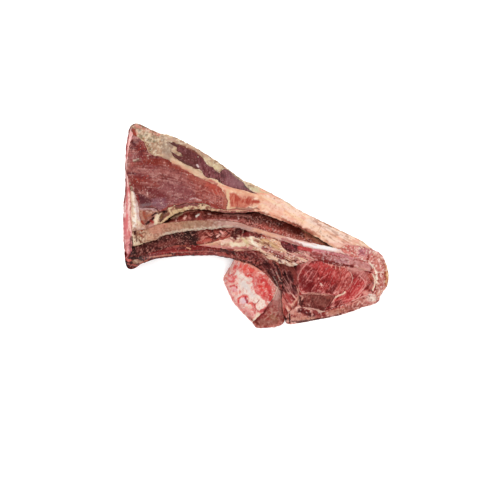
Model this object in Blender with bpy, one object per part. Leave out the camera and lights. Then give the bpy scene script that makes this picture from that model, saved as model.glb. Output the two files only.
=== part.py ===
"""Raw tomahawk steak: a long, untrimmed beef rib cut, lying on its far cut face.

The frame is +Z up, with the origin at the centre of the outline on the resting face.
+X runs from the belly end of the rib to the rounded rim of the loin, and the shown cut face looks up.
Outlines are written in millimetres. Every muscle, fat and bone piece runs through the cut from face to face.
"""

import bpy
import bmesh
import numpy as np

MM = 0.001

# Driving dimensions, in millimetres
FACE_HEIGHT_BELLY = 46.0    # cut thickness at the belly end
FACE_HEIGHT_LOIN = 56.0     # cut thickness at the loin end
BELLY_X = -220.0
LOIN_X = 220.0
GAP = 0.3                   # clearance between neighbouring pieces
SEAM_STEP = 8.0             # spacing of the points along a seam
SKIN_MUSCLE_THICKNESS = 4.5  # the thin muscle sheet left on the outer fat
SKIN_EDGE_HEIGHT = 12.0     # height of the flared outer skin at the outline
MITRE_LIMIT = 6.0           # the farthest a corner moves, in insets
HEADROOM = 25.0             # how far a cutting prism reaches past the solid

# Points where three or more pieces meet, on the cut face
CORNERS = {
    "belly_tip": (-206, 166),
    "belly_shoulder": (-203, 151),
    "belly_waist": (-208, 59),
    "rib_tip": (-216, -55),
    "rib_root": (-211, -52),
    "band_heel": (-204, -34),
    "band_neck": (-205, -9),
    "corner_top": (-193, 32),
    "corner_foot": (-179, -5),
    "crease_start": (-156, 4),
    "flank_tail": (-48, 27),
    "fringe_end": (1, 23),
    "crease_end": (129, -36),
    "band_shoulder": (139, -39),
    "band_end": (157, -51),
    "rim_top": (195, -40),
    "rim_foot": (204, -124),
    "meat_end": (-9, -9),
    "pad_left": (-95, -32),
    "pad_top": (39, -23),
    "pad_foot": (38, -61),
    "eye_corner": (67, -65),
    "eye_crown": (101, -57),
    "eye_shoulder": (147, -67),
    "cap_tip": (194, -79),
    "knob": (198, -115),
    "eye_foot": (131, -116),
    "eye_heel": (72, -114),
    "lower_heel": (69, -131),
    "lower_tip": (111, -141),
    "notch": (48, -155),
    "foot_left": (-3, -160),
    "foot_top": (43, -108),
    "chine_top": (34, -99),
    "chine_crook": (-37, -56),
    "patch_left": (-146, 140),
    "patch_high": (-49, 96),
    "patch_low": (-20, 76),
    "patch_tip": (4, 53),
}

# Seams between the pieces: start corner, the points a smooth curve runs through, end corner
SEAMS = {
    # outer edge, clockwise from the belly tip
    "skin_edge": ("belly_tip", [(-197, 170), (-163, 155), (-144, 151), (-118, 140), (-79, 117)], "patch_high"),
    "patch_edge": ("patch_high", [(-39, 89)], "patch_low"),
    "fat_edge": ("patch_low", [(10, 62), (50, 41), (70, 27), (110, 6), (149, -13), (174, -25)], "rim_top"),
    "rim_edge": ("rim_top", [(207, -46), (215, -58), (220, -78), (218, -98), (209, -112)], "rim_foot"),
    "back_edge": ("rim_foot", [(196, -129), (176, -134), (133, -148), (80, -158), (55, -161)], "notch"),
    "foot_edge": ("notch", [(43, -163), (30, -168), (4, -169)], "foot_left"),
    "chine_edge": ("foot_left", [(-16, -147), (-33, -129), (-45, -106), (-52, -88), (-45, -72)], "chine_crook"),
    "arc_edge": ("chine_crook", [(-69, -50), (-108, -49), (-150, -52), (-181, -58), (-206, -71), (-214, -66)],
                 "rib_tip"),
    "belly_edge": ("rib_tip", [(-220, -10), (-219, 36), (-216, 60), (-216, 115), (-211, 156)], "belly_tip"),
    # round the belly end
    "belly_fat": ("belly_tip", [], "belly_shoulder"),
    "belly_flank": ("belly_shoulder", [(-210, 125), (-212, 90)], "belly_waist"),
    "belly_band": ("belly_waist", [(-206, 20)], "band_neck"),
    "belly_heel": ("band_neck", [], "band_heel"),
    "belly_meat": ("band_heel", [(-206, -43)], "rib_root"),
    "belly_rib": ("rib_root", [], "rib_tip"),
    # round the flank muscle
    "flank_top": ("belly_shoulder", [(-186, 140), (-174, 118), (-153, 113), (-128, 98), (-82, 74), (-59, 63),
                                     (-47, 43)], "flank_tail"),
    "flank_corner": ("belly_waist", [(-200, 54)], "corner_top"),
    "flank_fringe": ("corner_top", [(-169, 29), (-156, 24), (-131, 34), (-90, 38), (-69, 29)], "flank_tail"),
    # corner fat, fringe and crease
    "corner_side": ("corner_top", [(-191, 9)], "corner_foot"),
    "corner_base": ("band_neck", [], "corner_foot"),
    "corner_fringe": ("corner_foot", [], "crease_start"),
    "fringe_cover": ("flank_tail", [(-22, 28)], "fringe_end"),
    "fringe_crease": ("crease_start", [(-127, 22), (-92, 27), (-52, 22)], "fringe_end"),
    "crease_cover": ("fringe_end", [(32, 13), (65, 0), (98, -17)], "crease_end"),
    "crease_band": ("crease_start", [(-125, 7), (-92, 9), (-36, 7), (1, -4), (70, -23)], "crease_end"),
    # pale band
    "band_cover": ("crease_end", [], "band_shoulder"),
    "band_rim": ("band_shoulder", [], "band_end"),
    "band_meat": ("band_heel", [(-174, -26), (-141, -13), (-92, -7), (-39, -3)], "meat_end"),
    "band_pad": ("meat_end", [], "pad_top"),
    "band_cap": ("pad_top", [(73, -33), (126, -43)], "band_end"),
    # rib meat, fat pad and rib
    "meat_pad": ("meat_end", [(-42, -19), (-69, -26)], "pad_left"),
    "rib_meat_seam": ("pad_left", [(-130, -32), (-164, -42), (-194, -51)], "rib_root"),
    "rib_pad_seam": ("pad_left", [(-59, -37), (-4, -39), (20, -53)], "pad_foot"),
    "pad_cap": ("pad_top", [(46, -37), (58, -45), (81, -42)], "eye_crown"),
    "pad_deep": ("pad_foot", [(58, -68)], "eye_corner"),
    "pad_eye": ("eye_corner", [(84, -60)], "eye_crown"),
    # loin muscles
    "eye_cap_seam": ("eye_crown", [(124, -64)], "eye_shoulder"),
    "cap_crescent": ("eye_shoulder", [(169, -71)], "cap_tip"),
    "cap_rim": ("band_end", [(180, -59), (190, -66)], "cap_tip"),
    "crescent_rim": ("cap_tip", [(198, -92)], "knob"),
    "knob_rim": ("knob", [], "rim_foot"),
    "cover_rim": ("rim_top", [(171, -34), (150, -32)], "band_shoulder"),
    "rib_deep": ("pad_foot", [(45, -84)], "foot_top"),
    "rib_foot": ("chine_top", [], "foot_top"),
    "rib_chine": ("chine_crook", [(-9, -64), (15, -79)], "chine_top"),
    "eye_deep": ("eye_corner", [(69, -88)], "eye_heel"),
    "lower_deep": ("eye_heel", [], "lower_heel"),
    "back_deep": ("lower_heel", [(57, -140)], "notch"),
    "foot_deep": ("foot_top", [(44, -131)], "notch"),
    "foot_chine": ("chine_top", [(31, -115), (16, -138)], "foot_left"),
    "eye_crescent": ("eye_shoulder", [(160, -82), (158, -99), (147, -109)], "eye_foot"),
    "eye_lower": ("eye_heel", [(100, -111)], "eye_foot"),
    "lower_crescent": ("eye_foot", [(121, -132)], "lower_tip"),
    "lower_back": ("lower_heel", [(87, -137)], "lower_tip"),
    "crescent_back": ("lower_tip", [(146, -130), (173, -119)], "knob"),
    # torn sheet of skin muscle on the outer fat
    "patch_upper": ("patch_left", [(-126, 135), (-103, 125), (-79, 103), (-60, 88)], "patch_high"),
    "patch_lower": ("patch_left", [(-125, 111), (-92, 94), (-72, 78), (-49, 65)], "patch_tip"),
    "patch_end": ("patch_low", [(-9, 61)], "patch_tip"),
}

# Crest where the cut face turns into the flared outer skin
SKIN_CREST = [(-206, 166), (-201, 152), (-185, 143), (-172, 120), (-152, 116), (-127, 101), (-81, 77),
              (-58, 67), (-40, 63), (-16, 57), (4, 52), (12, 61)]

# Colours as linear red, green, blue
LEAN_RED = (0.24, 0.035, 0.032)
LEAN_DARK = (0.09, 0.018, 0.018)
LEAN_BROWN = (0.16, 0.05, 0.045)
LEAN_PINK = (0.42, 0.16, 0.14)
FAT_PEACH = (0.78, 0.48, 0.34)
FAT_CREAM = (0.66, 0.52, 0.34)
BAND_PALE = (0.58, 0.42, 0.36)
BONE_PINK = (0.70, 0.32, 0.28)


def curve_points(start, middle, end):
    """A smooth curve from start to end through the middle points (Catmull-Rom), cut into even steps."""
    through = np.array([start, *middle, end], float)
    before = 2 * through[0] - through[1]
    after = 2 * through[-1] - through[-2]
    p = np.vstack([before, through, after])
    pieces = []
    for i in range(1, len(p) - 2):
        steps = max(1, round(np.linalg.norm(p[i + 1] - p[i]) / SEAM_STEP))
        t = (np.arange(steps) / steps)[:, None]
        pieces.append(0.5 * (2 * p[i] + (p[i + 1] - p[i - 1]) * t
                             + (2 * p[i - 1] - 5 * p[i] + 4 * p[i + 1] - p[i + 2]) * t ** 2
                             + (3 * p[i] - p[i - 1] - 3 * p[i + 1] + p[i + 2]) * t ** 3))
    return np.vstack([*pieces, through[-1:]])


def seam(name):
    """The points of one named seam, in millimetres."""
    start, middle, end = SEAMS[name]
    return curve_points(CORNERS[start], middle, CORNERS[end])


def outline(names):
    """Seams joined end to end into one closed, counter-clockwise outline."""
    at = [SEAMS[names[0]][0], SEAMS[names[0]][2]]
    if at[1] not in (SEAMS[names[1]][0], SEAMS[names[1]][2]):
        at.reverse()
    here = at[0]
    joined = []
    for name in names:
        start, _, end = SEAMS[name]
        points = seam(name)
        forward = start == here
        joined.append(points[:-1] if forward else points[::-1][:-1])
        here = end if forward else start
    ring = np.vstack(joined)
    following = np.roll(ring, -1, axis=0)
    area = 0.5 * np.sum(ring[:, 0] * following[:, 1] - following[:, 0] * ring[:, 1])
    return ring if area > 0 else ring[::-1]


def inset(ring, distance):
    """The outline moved inwards by a distance; a negative distance moves it outwards."""
    ahead = np.roll(ring, -1, axis=0) - ring
    ahead /= np.linalg.norm(ahead, axis=1)[:, None]
    behind = np.roll(ahead, 1, axis=0)
    inward = np.stack([-ahead[:, 1] - behind[:, 1], ahead[:, 0] + behind[:, 0]], axis=1)
    length = np.linalg.norm(inward, axis=1)[:, None]
    mitre = np.minimum(2 / np.maximum(length, 1e-6), MITRE_LIMIT)
    return ring + inward / np.maximum(length, 1e-6) * mitre * distance


def distance_to(x, y, line):
    """Distance from points to a polyline."""
    p = np.stack([np.ravel(x), np.ravel(y)], axis=1)[:, None]
    a = line[None, :-1]
    along = line[None, 1:] - a
    t = np.clip(np.sum((p - a) * along, axis=2) / np.sum(along ** 2, axis=2), 0, 1)
    nearest = a + t[:, :, None] * along
    return np.min(np.linalg.norm(p - nearest, axis=2), axis=1).reshape(np.shape(x))


def across(x, y, inner, outer):
    """How far a point lies from the inner seams (0) towards the outer seams (1)."""
    near = np.min([distance_to(x, y, seam(name)) for name in inner], axis=0)
    far = np.min([distance_to(x, y, seam(name)) for name in outer], axis=0)
    return near / np.maximum(near + far, 1e-6)


def face(x):
    """Height of the shown cut face, rising evenly from the belly end to the loin."""
    return FACE_HEIGHT_BELLY + (FACE_HEIGHT_LOIN - FACE_HEIGHT_BELLY) * (x - BELLY_X) / (LOIN_X - BELLY_X)


def flat_top(offset):
    """A top that follows the cut face, raised or sunk by an offset."""
    return lambda x, y: face(x) + offset


def sloping_top(inner, outer, start, drop, power=1.0):
    """A top that leaves the inner seams at an offset and drops towards the outer seams."""
    return lambda x, y: face(x) + start - drop * across(x, y, inner, outer) ** power


def domed_top(names, rise, reach):
    """A top that rises from the outline of a muscle to its middle."""
    def top(x, y):
        edge = np.min([distance_to(x, y, seam(name)) for name in names], axis=0)
        return face(x) + rise * (1 - (1 - np.clip(edge / reach, 0, 1)) ** 2)
    return top


def cover_top(x, y):
    """The fat cover: flat on the cut face, rounded at the thin edge, flared outwards below the skin crest."""
    crest = np.array(SKIN_CREST, float)
    crest_y = np.interp(x, crest[:, 0], crest[:, 1])
    near = distance_to(x, y, crest)
    skin = np.min([distance_to(x, y, seam(name)) for name in ("skin_edge", "patch_edge")], axis=0)
    outside = (y > crest_y) & (x < crest[-1, 0])
    t = np.where(outside, near / np.maximum(near + skin, 1e-6), 0)
    rounded = 8 * (1 - np.clip(distance_to(x, y, seam("fat_edge")) / 9, 0, 1)) ** 2
    flared = SKIN_EDGE_HEIGHT + (face(x) - SKIN_EDGE_HEIGHT) * (1 - t ** 1.3)
    return np.minimum(flared, face(x) - rounded)


# Each piece: its seams in order, its top, the spacing of the points on that top, its colour and its roughness
PIECES = {
    "belly_end": (["belly_fat", "belly_flank", "belly_band", "belly_heel", "belly_meat", "belly_rib", "belly_edge"],
                  sloping_top(["belly_fat", "belly_flank", "belly_band", "belly_heel", "belly_meat", "belly_rib"],
                              ["belly_edge"], -0.5, 32, 1.3), 5, LEAN_PINK, 0.5),
    "fat_cover": (["skin_edge", "patch_edge", "fat_edge", "cover_rim", "band_cover", "crease_cover", "fringe_cover",
                   "flank_top", "belly_fat"], cover_top, 8, FAT_PEACH, 0.5),
    "flank_muscle": (["flank_top", "flank_fringe", "flank_corner", "belly_flank"], flat_top(0), 16, LEAN_RED, 0.4),
    "corner_fat": (["flank_corner", "corner_side", "corner_base", "belly_band"], flat_top(-1.5), 12, FAT_CREAM, 0.5),
    "fringe_fat": (["flank_fringe", "fringe_cover", "fringe_crease", "corner_fringe", "corner_side"],
                   flat_top(-1), 10, FAT_CREAM, 0.5),
    "crease_meat": (["fringe_crease", "crease_cover", "crease_band"],
                    sloping_top(["crease_band"], ["fringe_crease", "crease_cover"], -6, 12), 7, LEAN_DARK, 0.4),
    "pale_band": (["corner_base", "corner_fringe", "crease_band", "band_cover", "band_rim", "band_cap", "band_pad",
                   "band_meat", "belly_heel"], flat_top(0.5), 12, BAND_PALE, 0.45),
    "rib_meat": (["band_meat", "meat_pad", "rib_meat_seam", "belly_meat"], flat_top(-5), 12, LEAN_DARK, 0.4),
    "fat_pad": (["band_pad", "pad_cap", "pad_eye", "pad_deep", "rib_pad_seam", "meat_pad"],
                sloping_top(["band_pad", "pad_cap", "pad_eye"], ["rib_pad_seam", "pad_deep"], 0.5, 5),
                8, FAT_CREAM, 0.5),
    "cap_meat": (["band_cap", "cap_rim", "cap_crescent", "eye_cap_seam", "pad_cap"], flat_top(0), 12, LEAN_PINK, 0.4),
    "rim_meat": (["cover_rim", "rim_edge", "knob_rim", "crescent_rim", "cap_rim", "band_rim"],
                 sloping_top(["cover_rim", "band_rim", "cap_rim", "crescent_rim", "knob_rim"], ["rim_edge"],
                             0, 18, 2), 6, LEAN_PINK, 0.5),
    "rib_bone": (["rib_meat_seam", "rib_pad_seam", "rib_deep", "rib_foot", "rib_chine", "arc_edge", "belly_rib"],
                 sloping_top(["rib_meat_seam", "rib_pad_seam", "rib_deep"], ["arc_edge", "rib_chine"], -4, 18),
                 7, LEAN_BROWN, 0.35),
    "deep_meat": (["pad_deep", "eye_deep", "lower_deep", "back_deep", "foot_deep", "rib_deep"],
                  sloping_top(["lower_deep", "back_deep"], ["pad_deep"], -4, 10), 8, LEAN_DARK, 0.4),
    "eye_muscle": (["pad_eye", "eye_cap_seam", "eye_crescent", "eye_lower", "eye_deep"],
                   domed_top(["pad_eye", "eye_cap_seam", "eye_crescent", "eye_lower", "eye_deep"], 2.5, 22),
                   9, LEAN_RED, 0.35),
    "eye_crescent": (["cap_crescent", "crescent_rim", "crescent_back", "lower_crescent", "eye_crescent"],
                     flat_top(0.5), 12, LEAN_RED, 0.35),
    "lower_muscle": (["eye_lower", "lower_crescent", "lower_back", "lower_deep"], flat_top(-0.5), 12,
                     LEAN_BROWN, 0.4),
    "back_strip": (["lower_back", "crescent_back", "knob_rim", "back_edge", "back_deep"],
                   sloping_top(["lower_back", "crescent_back"], ["back_edge"], 0, 10, 2), 7, FAT_PEACH, 0.5),
    "spine_foot": (["rib_foot", "foot_deep", "foot_edge", "foot_chine"],
                   sloping_top(["rib_foot"], ["foot_edge"], -16, 22), 7, LEAN_BROWN, 0.5),
    "chine_bone": (["rib_chine", "foot_chine", "chine_edge"],
                   sloping_top(["rib_chine", "foot_chine"], ["chine_edge"], -22, 22, 1.1), 7, BONE_PINK, 0.45),
}
PATCH_SEAMS = ["patch_upper", "patch_edge", "patch_end", "patch_lower"]


def clear_scene():
    """Remove every object of the open file."""
    for item in list(bpy.data.objects):
        bpy.data.objects.remove(item, do_unlink=True)


def make_collection(name):
    """A collection linked to the scene."""
    made = bpy.data.collections.new(name)
    bpy.context.scene.collection.children.link(made)
    return made


def make_material(name, colour, roughness):
    """A plain Principled material of one colour."""
    material = bpy.data.materials.new(name)
    material.use_nodes = True
    shader = material.node_tree.nodes["Principled BSDF"]
    shader.inputs["Base Color"].default_value = (*colour, 1.0)
    shader.inputs["Roughness"].default_value = roughness
    shader.inputs["Metallic"].default_value = 0.0
    return material


def make_prism(name, ring, low, high, collection):
    """A filled 2D curve extruded between two heights, turned into a closed mesh."""
    curve = bpy.data.curves.new(name + "_outline", "CURVE")
    curve.dimensions = "2D"
    curve.fill_mode = "BOTH"
    curve.extrude = (high - low) / 2 * MM
    spline = curve.splines.new("POLY")
    spline.points.add(len(ring) - 1)
    for point, (x, y) in zip(spline.points, ring):
        point.co = (x * MM, y * MM, 0.0, 1.0)
    spline.use_cyclic_u = True
    drawn = bpy.data.objects.new(name + "_outline", curve)
    drawn.location.z = (high + low) / 2 * MM
    collection.objects.link(drawn)
    bpy.context.view_layer.update()
    evaluated = drawn.evaluated_get(bpy.context.evaluated_depsgraph_get())
    mesh = bpy.data.meshes.new_from_object(evaluated)
    edit = bmesh.new()
    edit.from_mesh(mesh)
    bmesh.ops.remove_doubles(edit, verts=edit.verts, dist=0.00001)
    bmesh.ops.recalc_face_normals(edit, faces=edit.faces)
    edit.to_mesh(mesh)
    edit.free()
    prism = bpy.data.objects.new(name, mesh)
    prism.matrix_world = drawn.matrix_world
    collection.objects.link(prism)
    bpy.data.objects.remove(drawn, do_unlink=True)
    return prism


def make_relief(name, ring, surface, spacing, flat_side, collection):
    """A block over the outline's box: one skin follows surface(x, y), the other lies flat at flat_side."""
    low = ring.min(axis=0) - spacing
    high = ring.max(axis=0) + spacing
    cells = np.maximum(2, np.ceil((high - low) / spacing).astype(int))
    edit = bmesh.new()
    bmesh.ops.create_grid(edit, x_segments=int(cells[0]), y_segments=int(cells[1]), size=0.5)
    flat = np.array([v.co[:2] for v in edit.verts])
    x = (low[0] + high[0]) / 2 + flat[:, 0] * (high[0] - low[0])
    y = (low[1] + high[1]) / 2 + flat[:, 1] * (high[1] - low[1])
    z = surface(x, y)
    for vertex, place in zip(edit.verts, np.stack([x, y, z], axis=1) * MM):
        vertex.co = place
    rim = [edge for edge in edit.edges if edge.is_boundary]
    walls = bmesh.ops.extrude_edge_only(edit, edges=rim)["geom"]
    for vertex in walls:
        if isinstance(vertex, bmesh.types.BMVert):
            vertex.co.z = flat_side * MM
    lower_rim = [edge for edge in walls if isinstance(edge, bmesh.types.BMEdge) and edge.is_boundary]
    bmesh.ops.contextual_create(edit, geom=lower_rim)
    bmesh.ops.triangulate(edit, faces=[f for f in edit.faces if len(f.verts) == 4])
    bmesh.ops.recalc_face_normals(edit, faces=edit.faces)
    mesh = bpy.data.meshes.new(name)
    edit.to_mesh(mesh)
    edit.free()
    block = bpy.data.objects.new(name, mesh)
    collection.objects.link(block)
    return block


def cut_with(target, cutter, operation):
    """Add a Boolean modifier that cuts the target with a hidden guide."""
    cutter.hide_render = True
    cutter.display_type = "WIRE"
    step = target.modifiers.new(operation.title(), "BOOLEAN")
    step.operation = operation
    step.solver = "EXACT"
    step.object = cutter


def make_piece(name, ring, surface, spacing, material, parts, guides):
    """One piece of the steak: a relief block kept only inside its outline, half a gap in from its seams."""
    block = make_relief(name, ring, surface, spacing, 0.0, parts)
    prism = make_prism(name + "_guide", inset(ring, GAP / 2), -HEADROOM, FACE_HEIGHT_LOIN + HEADROOM, guides)
    cut_with(block, prism, "INTERSECT")
    block.data.materials.append(material)
    return block


def make_skin_muscle(cover, parts, guides):
    """The torn muscle sheet on the outer fat, let into the fat cover by its own thickness."""
    ring = outline(PATCH_SEAMS)
    spacing = PIECES["fat_cover"][2]
    top_limit = FACE_HEIGHT_LOIN + HEADROOM
    sheet = make_piece("skin_muscle", ring, cover_top, spacing,
                       make_material("skin_muscle", LEAN_BROWN, 0.45), parts, guides)
    below = make_relief("skin_muscle_floor", ring, lambda x, y: cover_top(x, y) - SKIN_MUSCLE_THICKNESS,
                        spacing, -HEADROOM, guides)
    cut_with(sheet, below, "DIFFERENCE")
    recess = make_relief("skin_muscle_recess", ring,
                         lambda x, y: cover_top(x, y) - SKIN_MUSCLE_THICKNESS - GAP, spacing, top_limit, guides)
    recess_edge = make_prism("skin_muscle_recess_edge", inset(ring, -GAP / 2), -HEADROOM,
                             top_limit + HEADROOM, guides)
    cut_with(recess, recess_edge, "INTERSECT")
    cut_with(cover, recess, "DIFFERENCE")


def build():
    """Model every piece of the steak."""
    clear_scene()
    parts = make_collection("raw_tomahawk_steak")
    guides = make_collection("cutting_guides")
    made = {}
    for name, (names, surface, spacing, colour, roughness) in PIECES.items():
        material = make_material(name, colour, roughness)
        made[name] = make_piece(name, outline(names), surface, spacing, material, parts, guides)
    make_skin_muscle(made["fat_cover"], parts, guides)


build()
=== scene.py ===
"""Looks of the raw tomahawk steak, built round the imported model.

Every muscle, fat and bone piece of the model is replaced by a fine surface of the same outline and
height. Lengths inside the functions are millimetres; the meshes are written in metres.
"""

import bpy
import numpy as np
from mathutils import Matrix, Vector


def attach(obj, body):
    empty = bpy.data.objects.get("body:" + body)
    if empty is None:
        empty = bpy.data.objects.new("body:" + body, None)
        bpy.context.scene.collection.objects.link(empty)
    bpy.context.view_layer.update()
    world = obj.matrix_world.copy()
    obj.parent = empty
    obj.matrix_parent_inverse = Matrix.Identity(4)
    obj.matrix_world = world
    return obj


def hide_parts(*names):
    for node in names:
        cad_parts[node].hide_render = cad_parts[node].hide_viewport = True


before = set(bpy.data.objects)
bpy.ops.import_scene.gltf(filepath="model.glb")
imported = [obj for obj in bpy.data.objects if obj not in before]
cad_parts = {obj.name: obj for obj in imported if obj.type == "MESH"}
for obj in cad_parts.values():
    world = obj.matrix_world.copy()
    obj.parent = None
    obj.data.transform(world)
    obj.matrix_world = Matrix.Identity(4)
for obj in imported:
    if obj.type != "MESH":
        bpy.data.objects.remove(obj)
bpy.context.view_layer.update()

MM = 0.001

# Driving dimensions, the same as the model's
FACE_HEIGHT_BELLY = 46.0
FACE_HEIGHT_LOIN = 56.0
BELLY_X = -220.0
LOIN_X = 220.0
SKIN_MUSCLE_THICKNESS = 4.5
SKIN_EDGE_HEIGHT = 12.0

# Fineness of the surfaces
CELL = 0.75                 # side of one square of a cut face
CELLS = {"fat_cover": 0.95}
SEAM_STEP = 3.0             # spacing of the points along a seam
OUTLINE_STEP = 1.2          # the same along the outline of a piece
RAGGED = 1.3                # how far a seam strays from its smooth course, and an outer edge
RAGGED_EDGE = 0.6
RAGGED_BAND = 0.35
INNER_ROWS = 3              # wall rows between two pieces, which don't show
OUTER_ROWS = 20             # wall rows round the outside
EDGE_REACH = 4.0            # how far in from its outline a piece's rim is rounded
CHUNK = 8192                # points handled at once in a distance
STRAY_SIZE = 4.5            # size of a seam's ragged forms, the seeds for x and y, and the gain
STRAY_SEEDS = (901, 902)
STRAY_GAIN = 2.6
SEAM_BLEND = 4.0            # over which a seam's raggedness settles to that of the seam it runs into
BULGE_BAND = (2, 7)         # from the outline: the whole bulge up to the first, none past the second
KNOB_BLEND = 9              # over which the rim comes down to the back strip
THIN_EDGE = (9, 8)          # width and drop of the fat cover's rounded thin edge
FLARE_POWER = 1.3           # how late the skin side flares out
RIM_ROUND = 2.2             # width of the rounding at every piece's rim
RELIEF_START = 0.8          # in from the rim, over which the painted relief sets in
UNDERSIDE_SHARE = 0.4       # how much of a hollow also shows in the resting face
FIBRE_LENGTH = 3.5          # how much longer than wide the grain of the tissue is
DARKEST = 0.003             # least light that a paint gives back
EDGE_ROUNDS = 3             # times that the outline's outward directions are averaged with their neighbours'
RIM_ROUNDS = 6              # the same for the rim of a piece
GRID_ROUNDS = 3             # times that the grid's inner points are evened out
MEND_ROUNDS = 4             # times that cells which touch at a corner alone are joined
LUMPS = (14, 1.6)           # size and depth of the broad lumps on an outside wall
DENTS = (4, 0.9)            # the same for the small dents
LUMP_MIDDLE = 1.4           # which leaves the lumps about the cut edge
UNDERCUT = 2.2              # how far an outside wall rounds in at the resting face
RIM_PAINT = 5               # how far down an outside wall the shown face's paint reaches
DRIED_SHARE = 0.9           # how much the dried colours cover it below that

# Share of a photographed brightness that a surface's own colour has, under lamps that make the floor white
TINT_SHARE = 0.6

# Where the colours of a ramp usually sit, for three, four and five of them
STOPS = {3: (0.1, 0.5, 0.9), 4: (0.05, 0.3, 0.6, 0.95), 5: (0.04, 0.25, 0.5, 0.75, 0.96)}

# Tone of each piece's paint: the powers that its red, green and blue are raised to, above 1 deeper and
# stronger, and how far it spreads about its own mean colour, where 1 leaves it as laid
TONES = {
    "belly_end": ((0.92, 1.34, 1.35), 1.0),
    "fat_cover": ((1.09, 1.11, 1.06), 1.1),
    "skin_muscle": ((1.07, 1.14, 1.13), 1.05),
    "flank_muscle": ((0.97, 0.99, 1.01), 1.08),
    "corner_fat": ((0.95, 1.06, 0.98), 1.25),
    "fringe_fat": ((1.12, 1.34, 1.15), 1.0),
    "crease_meat": ((0.64, 0.83, 0.87), 1.2),
    "pale_band": ((1.15, 1.35, 1.3), 1.12),
    "rib_meat": ((0.98, 1.07, 1.1), 1.18),
    "fat_pad": ((0.9, 1.27, 1.16), 1.2),
    "cap_meat": ((0.74, 0.93, 0.96), 1.25),
    "rim_meat": ((0.61, 0.91, 0.95), 1.32),
    "rib_bone": ((1.04, 1.36, 1.38), 1.26),
    "deep_meat": ((0.97, 1.28, 1.28), 1.12),
    "eye_muscle": ((1.01, 1.14, 1.11), 1.2),
    "eye_crescent": ((1.09, 1.21, 1.19), 1.2),
    "lower_muscle": ((0.93, 1.1, 1.1), 1.0),
    "back_strip": ((1.0, 1.21, 1.17), 1.08),
    "spine_foot": ((0.58, 0.91, 0.92), 1.04),
    "chine_bone": ((0.56, 1.03, 1.02), 1.1),
}

# Points where three or more pieces meet, on the cut face
CORNERS = {
    "belly_tip": (-206, 166),
    "belly_shoulder": (-203, 151),
    "belly_waist": (-208, 59),
    "rib_tip": (-216, -55),
    "rib_root": (-211, -52),
    "band_heel": (-204, -34),
    "band_neck": (-205, -9),
    "corner_top": (-193, 32),
    "corner_foot": (-179, -5),
    "crease_start": (-156, 4),
    "flank_tail": (-48, 27),
    "fringe_end": (1, 23),
    "crease_end": (129, -36),
    "band_shoulder": (139, -39),
    "band_end": (157, -51),
    "rim_top": (195, -40),
    "rim_foot": (204, -124),
    "meat_end": (-9, -9),
    "pad_left": (-95, -32),
    "pad_top": (39, -23),
    "pad_foot": (38, -61),
    "eye_corner": (67, -65),
    "eye_crown": (101, -57),
    "eye_shoulder": (147, -67),
    "cap_tip": (194, -79),
    "knob": (198, -115),
    "eye_foot": (131, -116),
    "eye_heel": (72, -114),
    "lower_heel": (69, -131),
    "lower_tip": (111, -141),
    "notch": (48, -155),
    "foot_left": (-3, -160),
    "foot_top": (43, -108),
    "chine_top": (34, -99),
    "chine_crook": (-37, -56),
    "patch_left": (-146, 140),
    "patch_high": (-49, 96),
    "patch_low": (-20, 76),
    "patch_tip": (4, 53),
}

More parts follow.
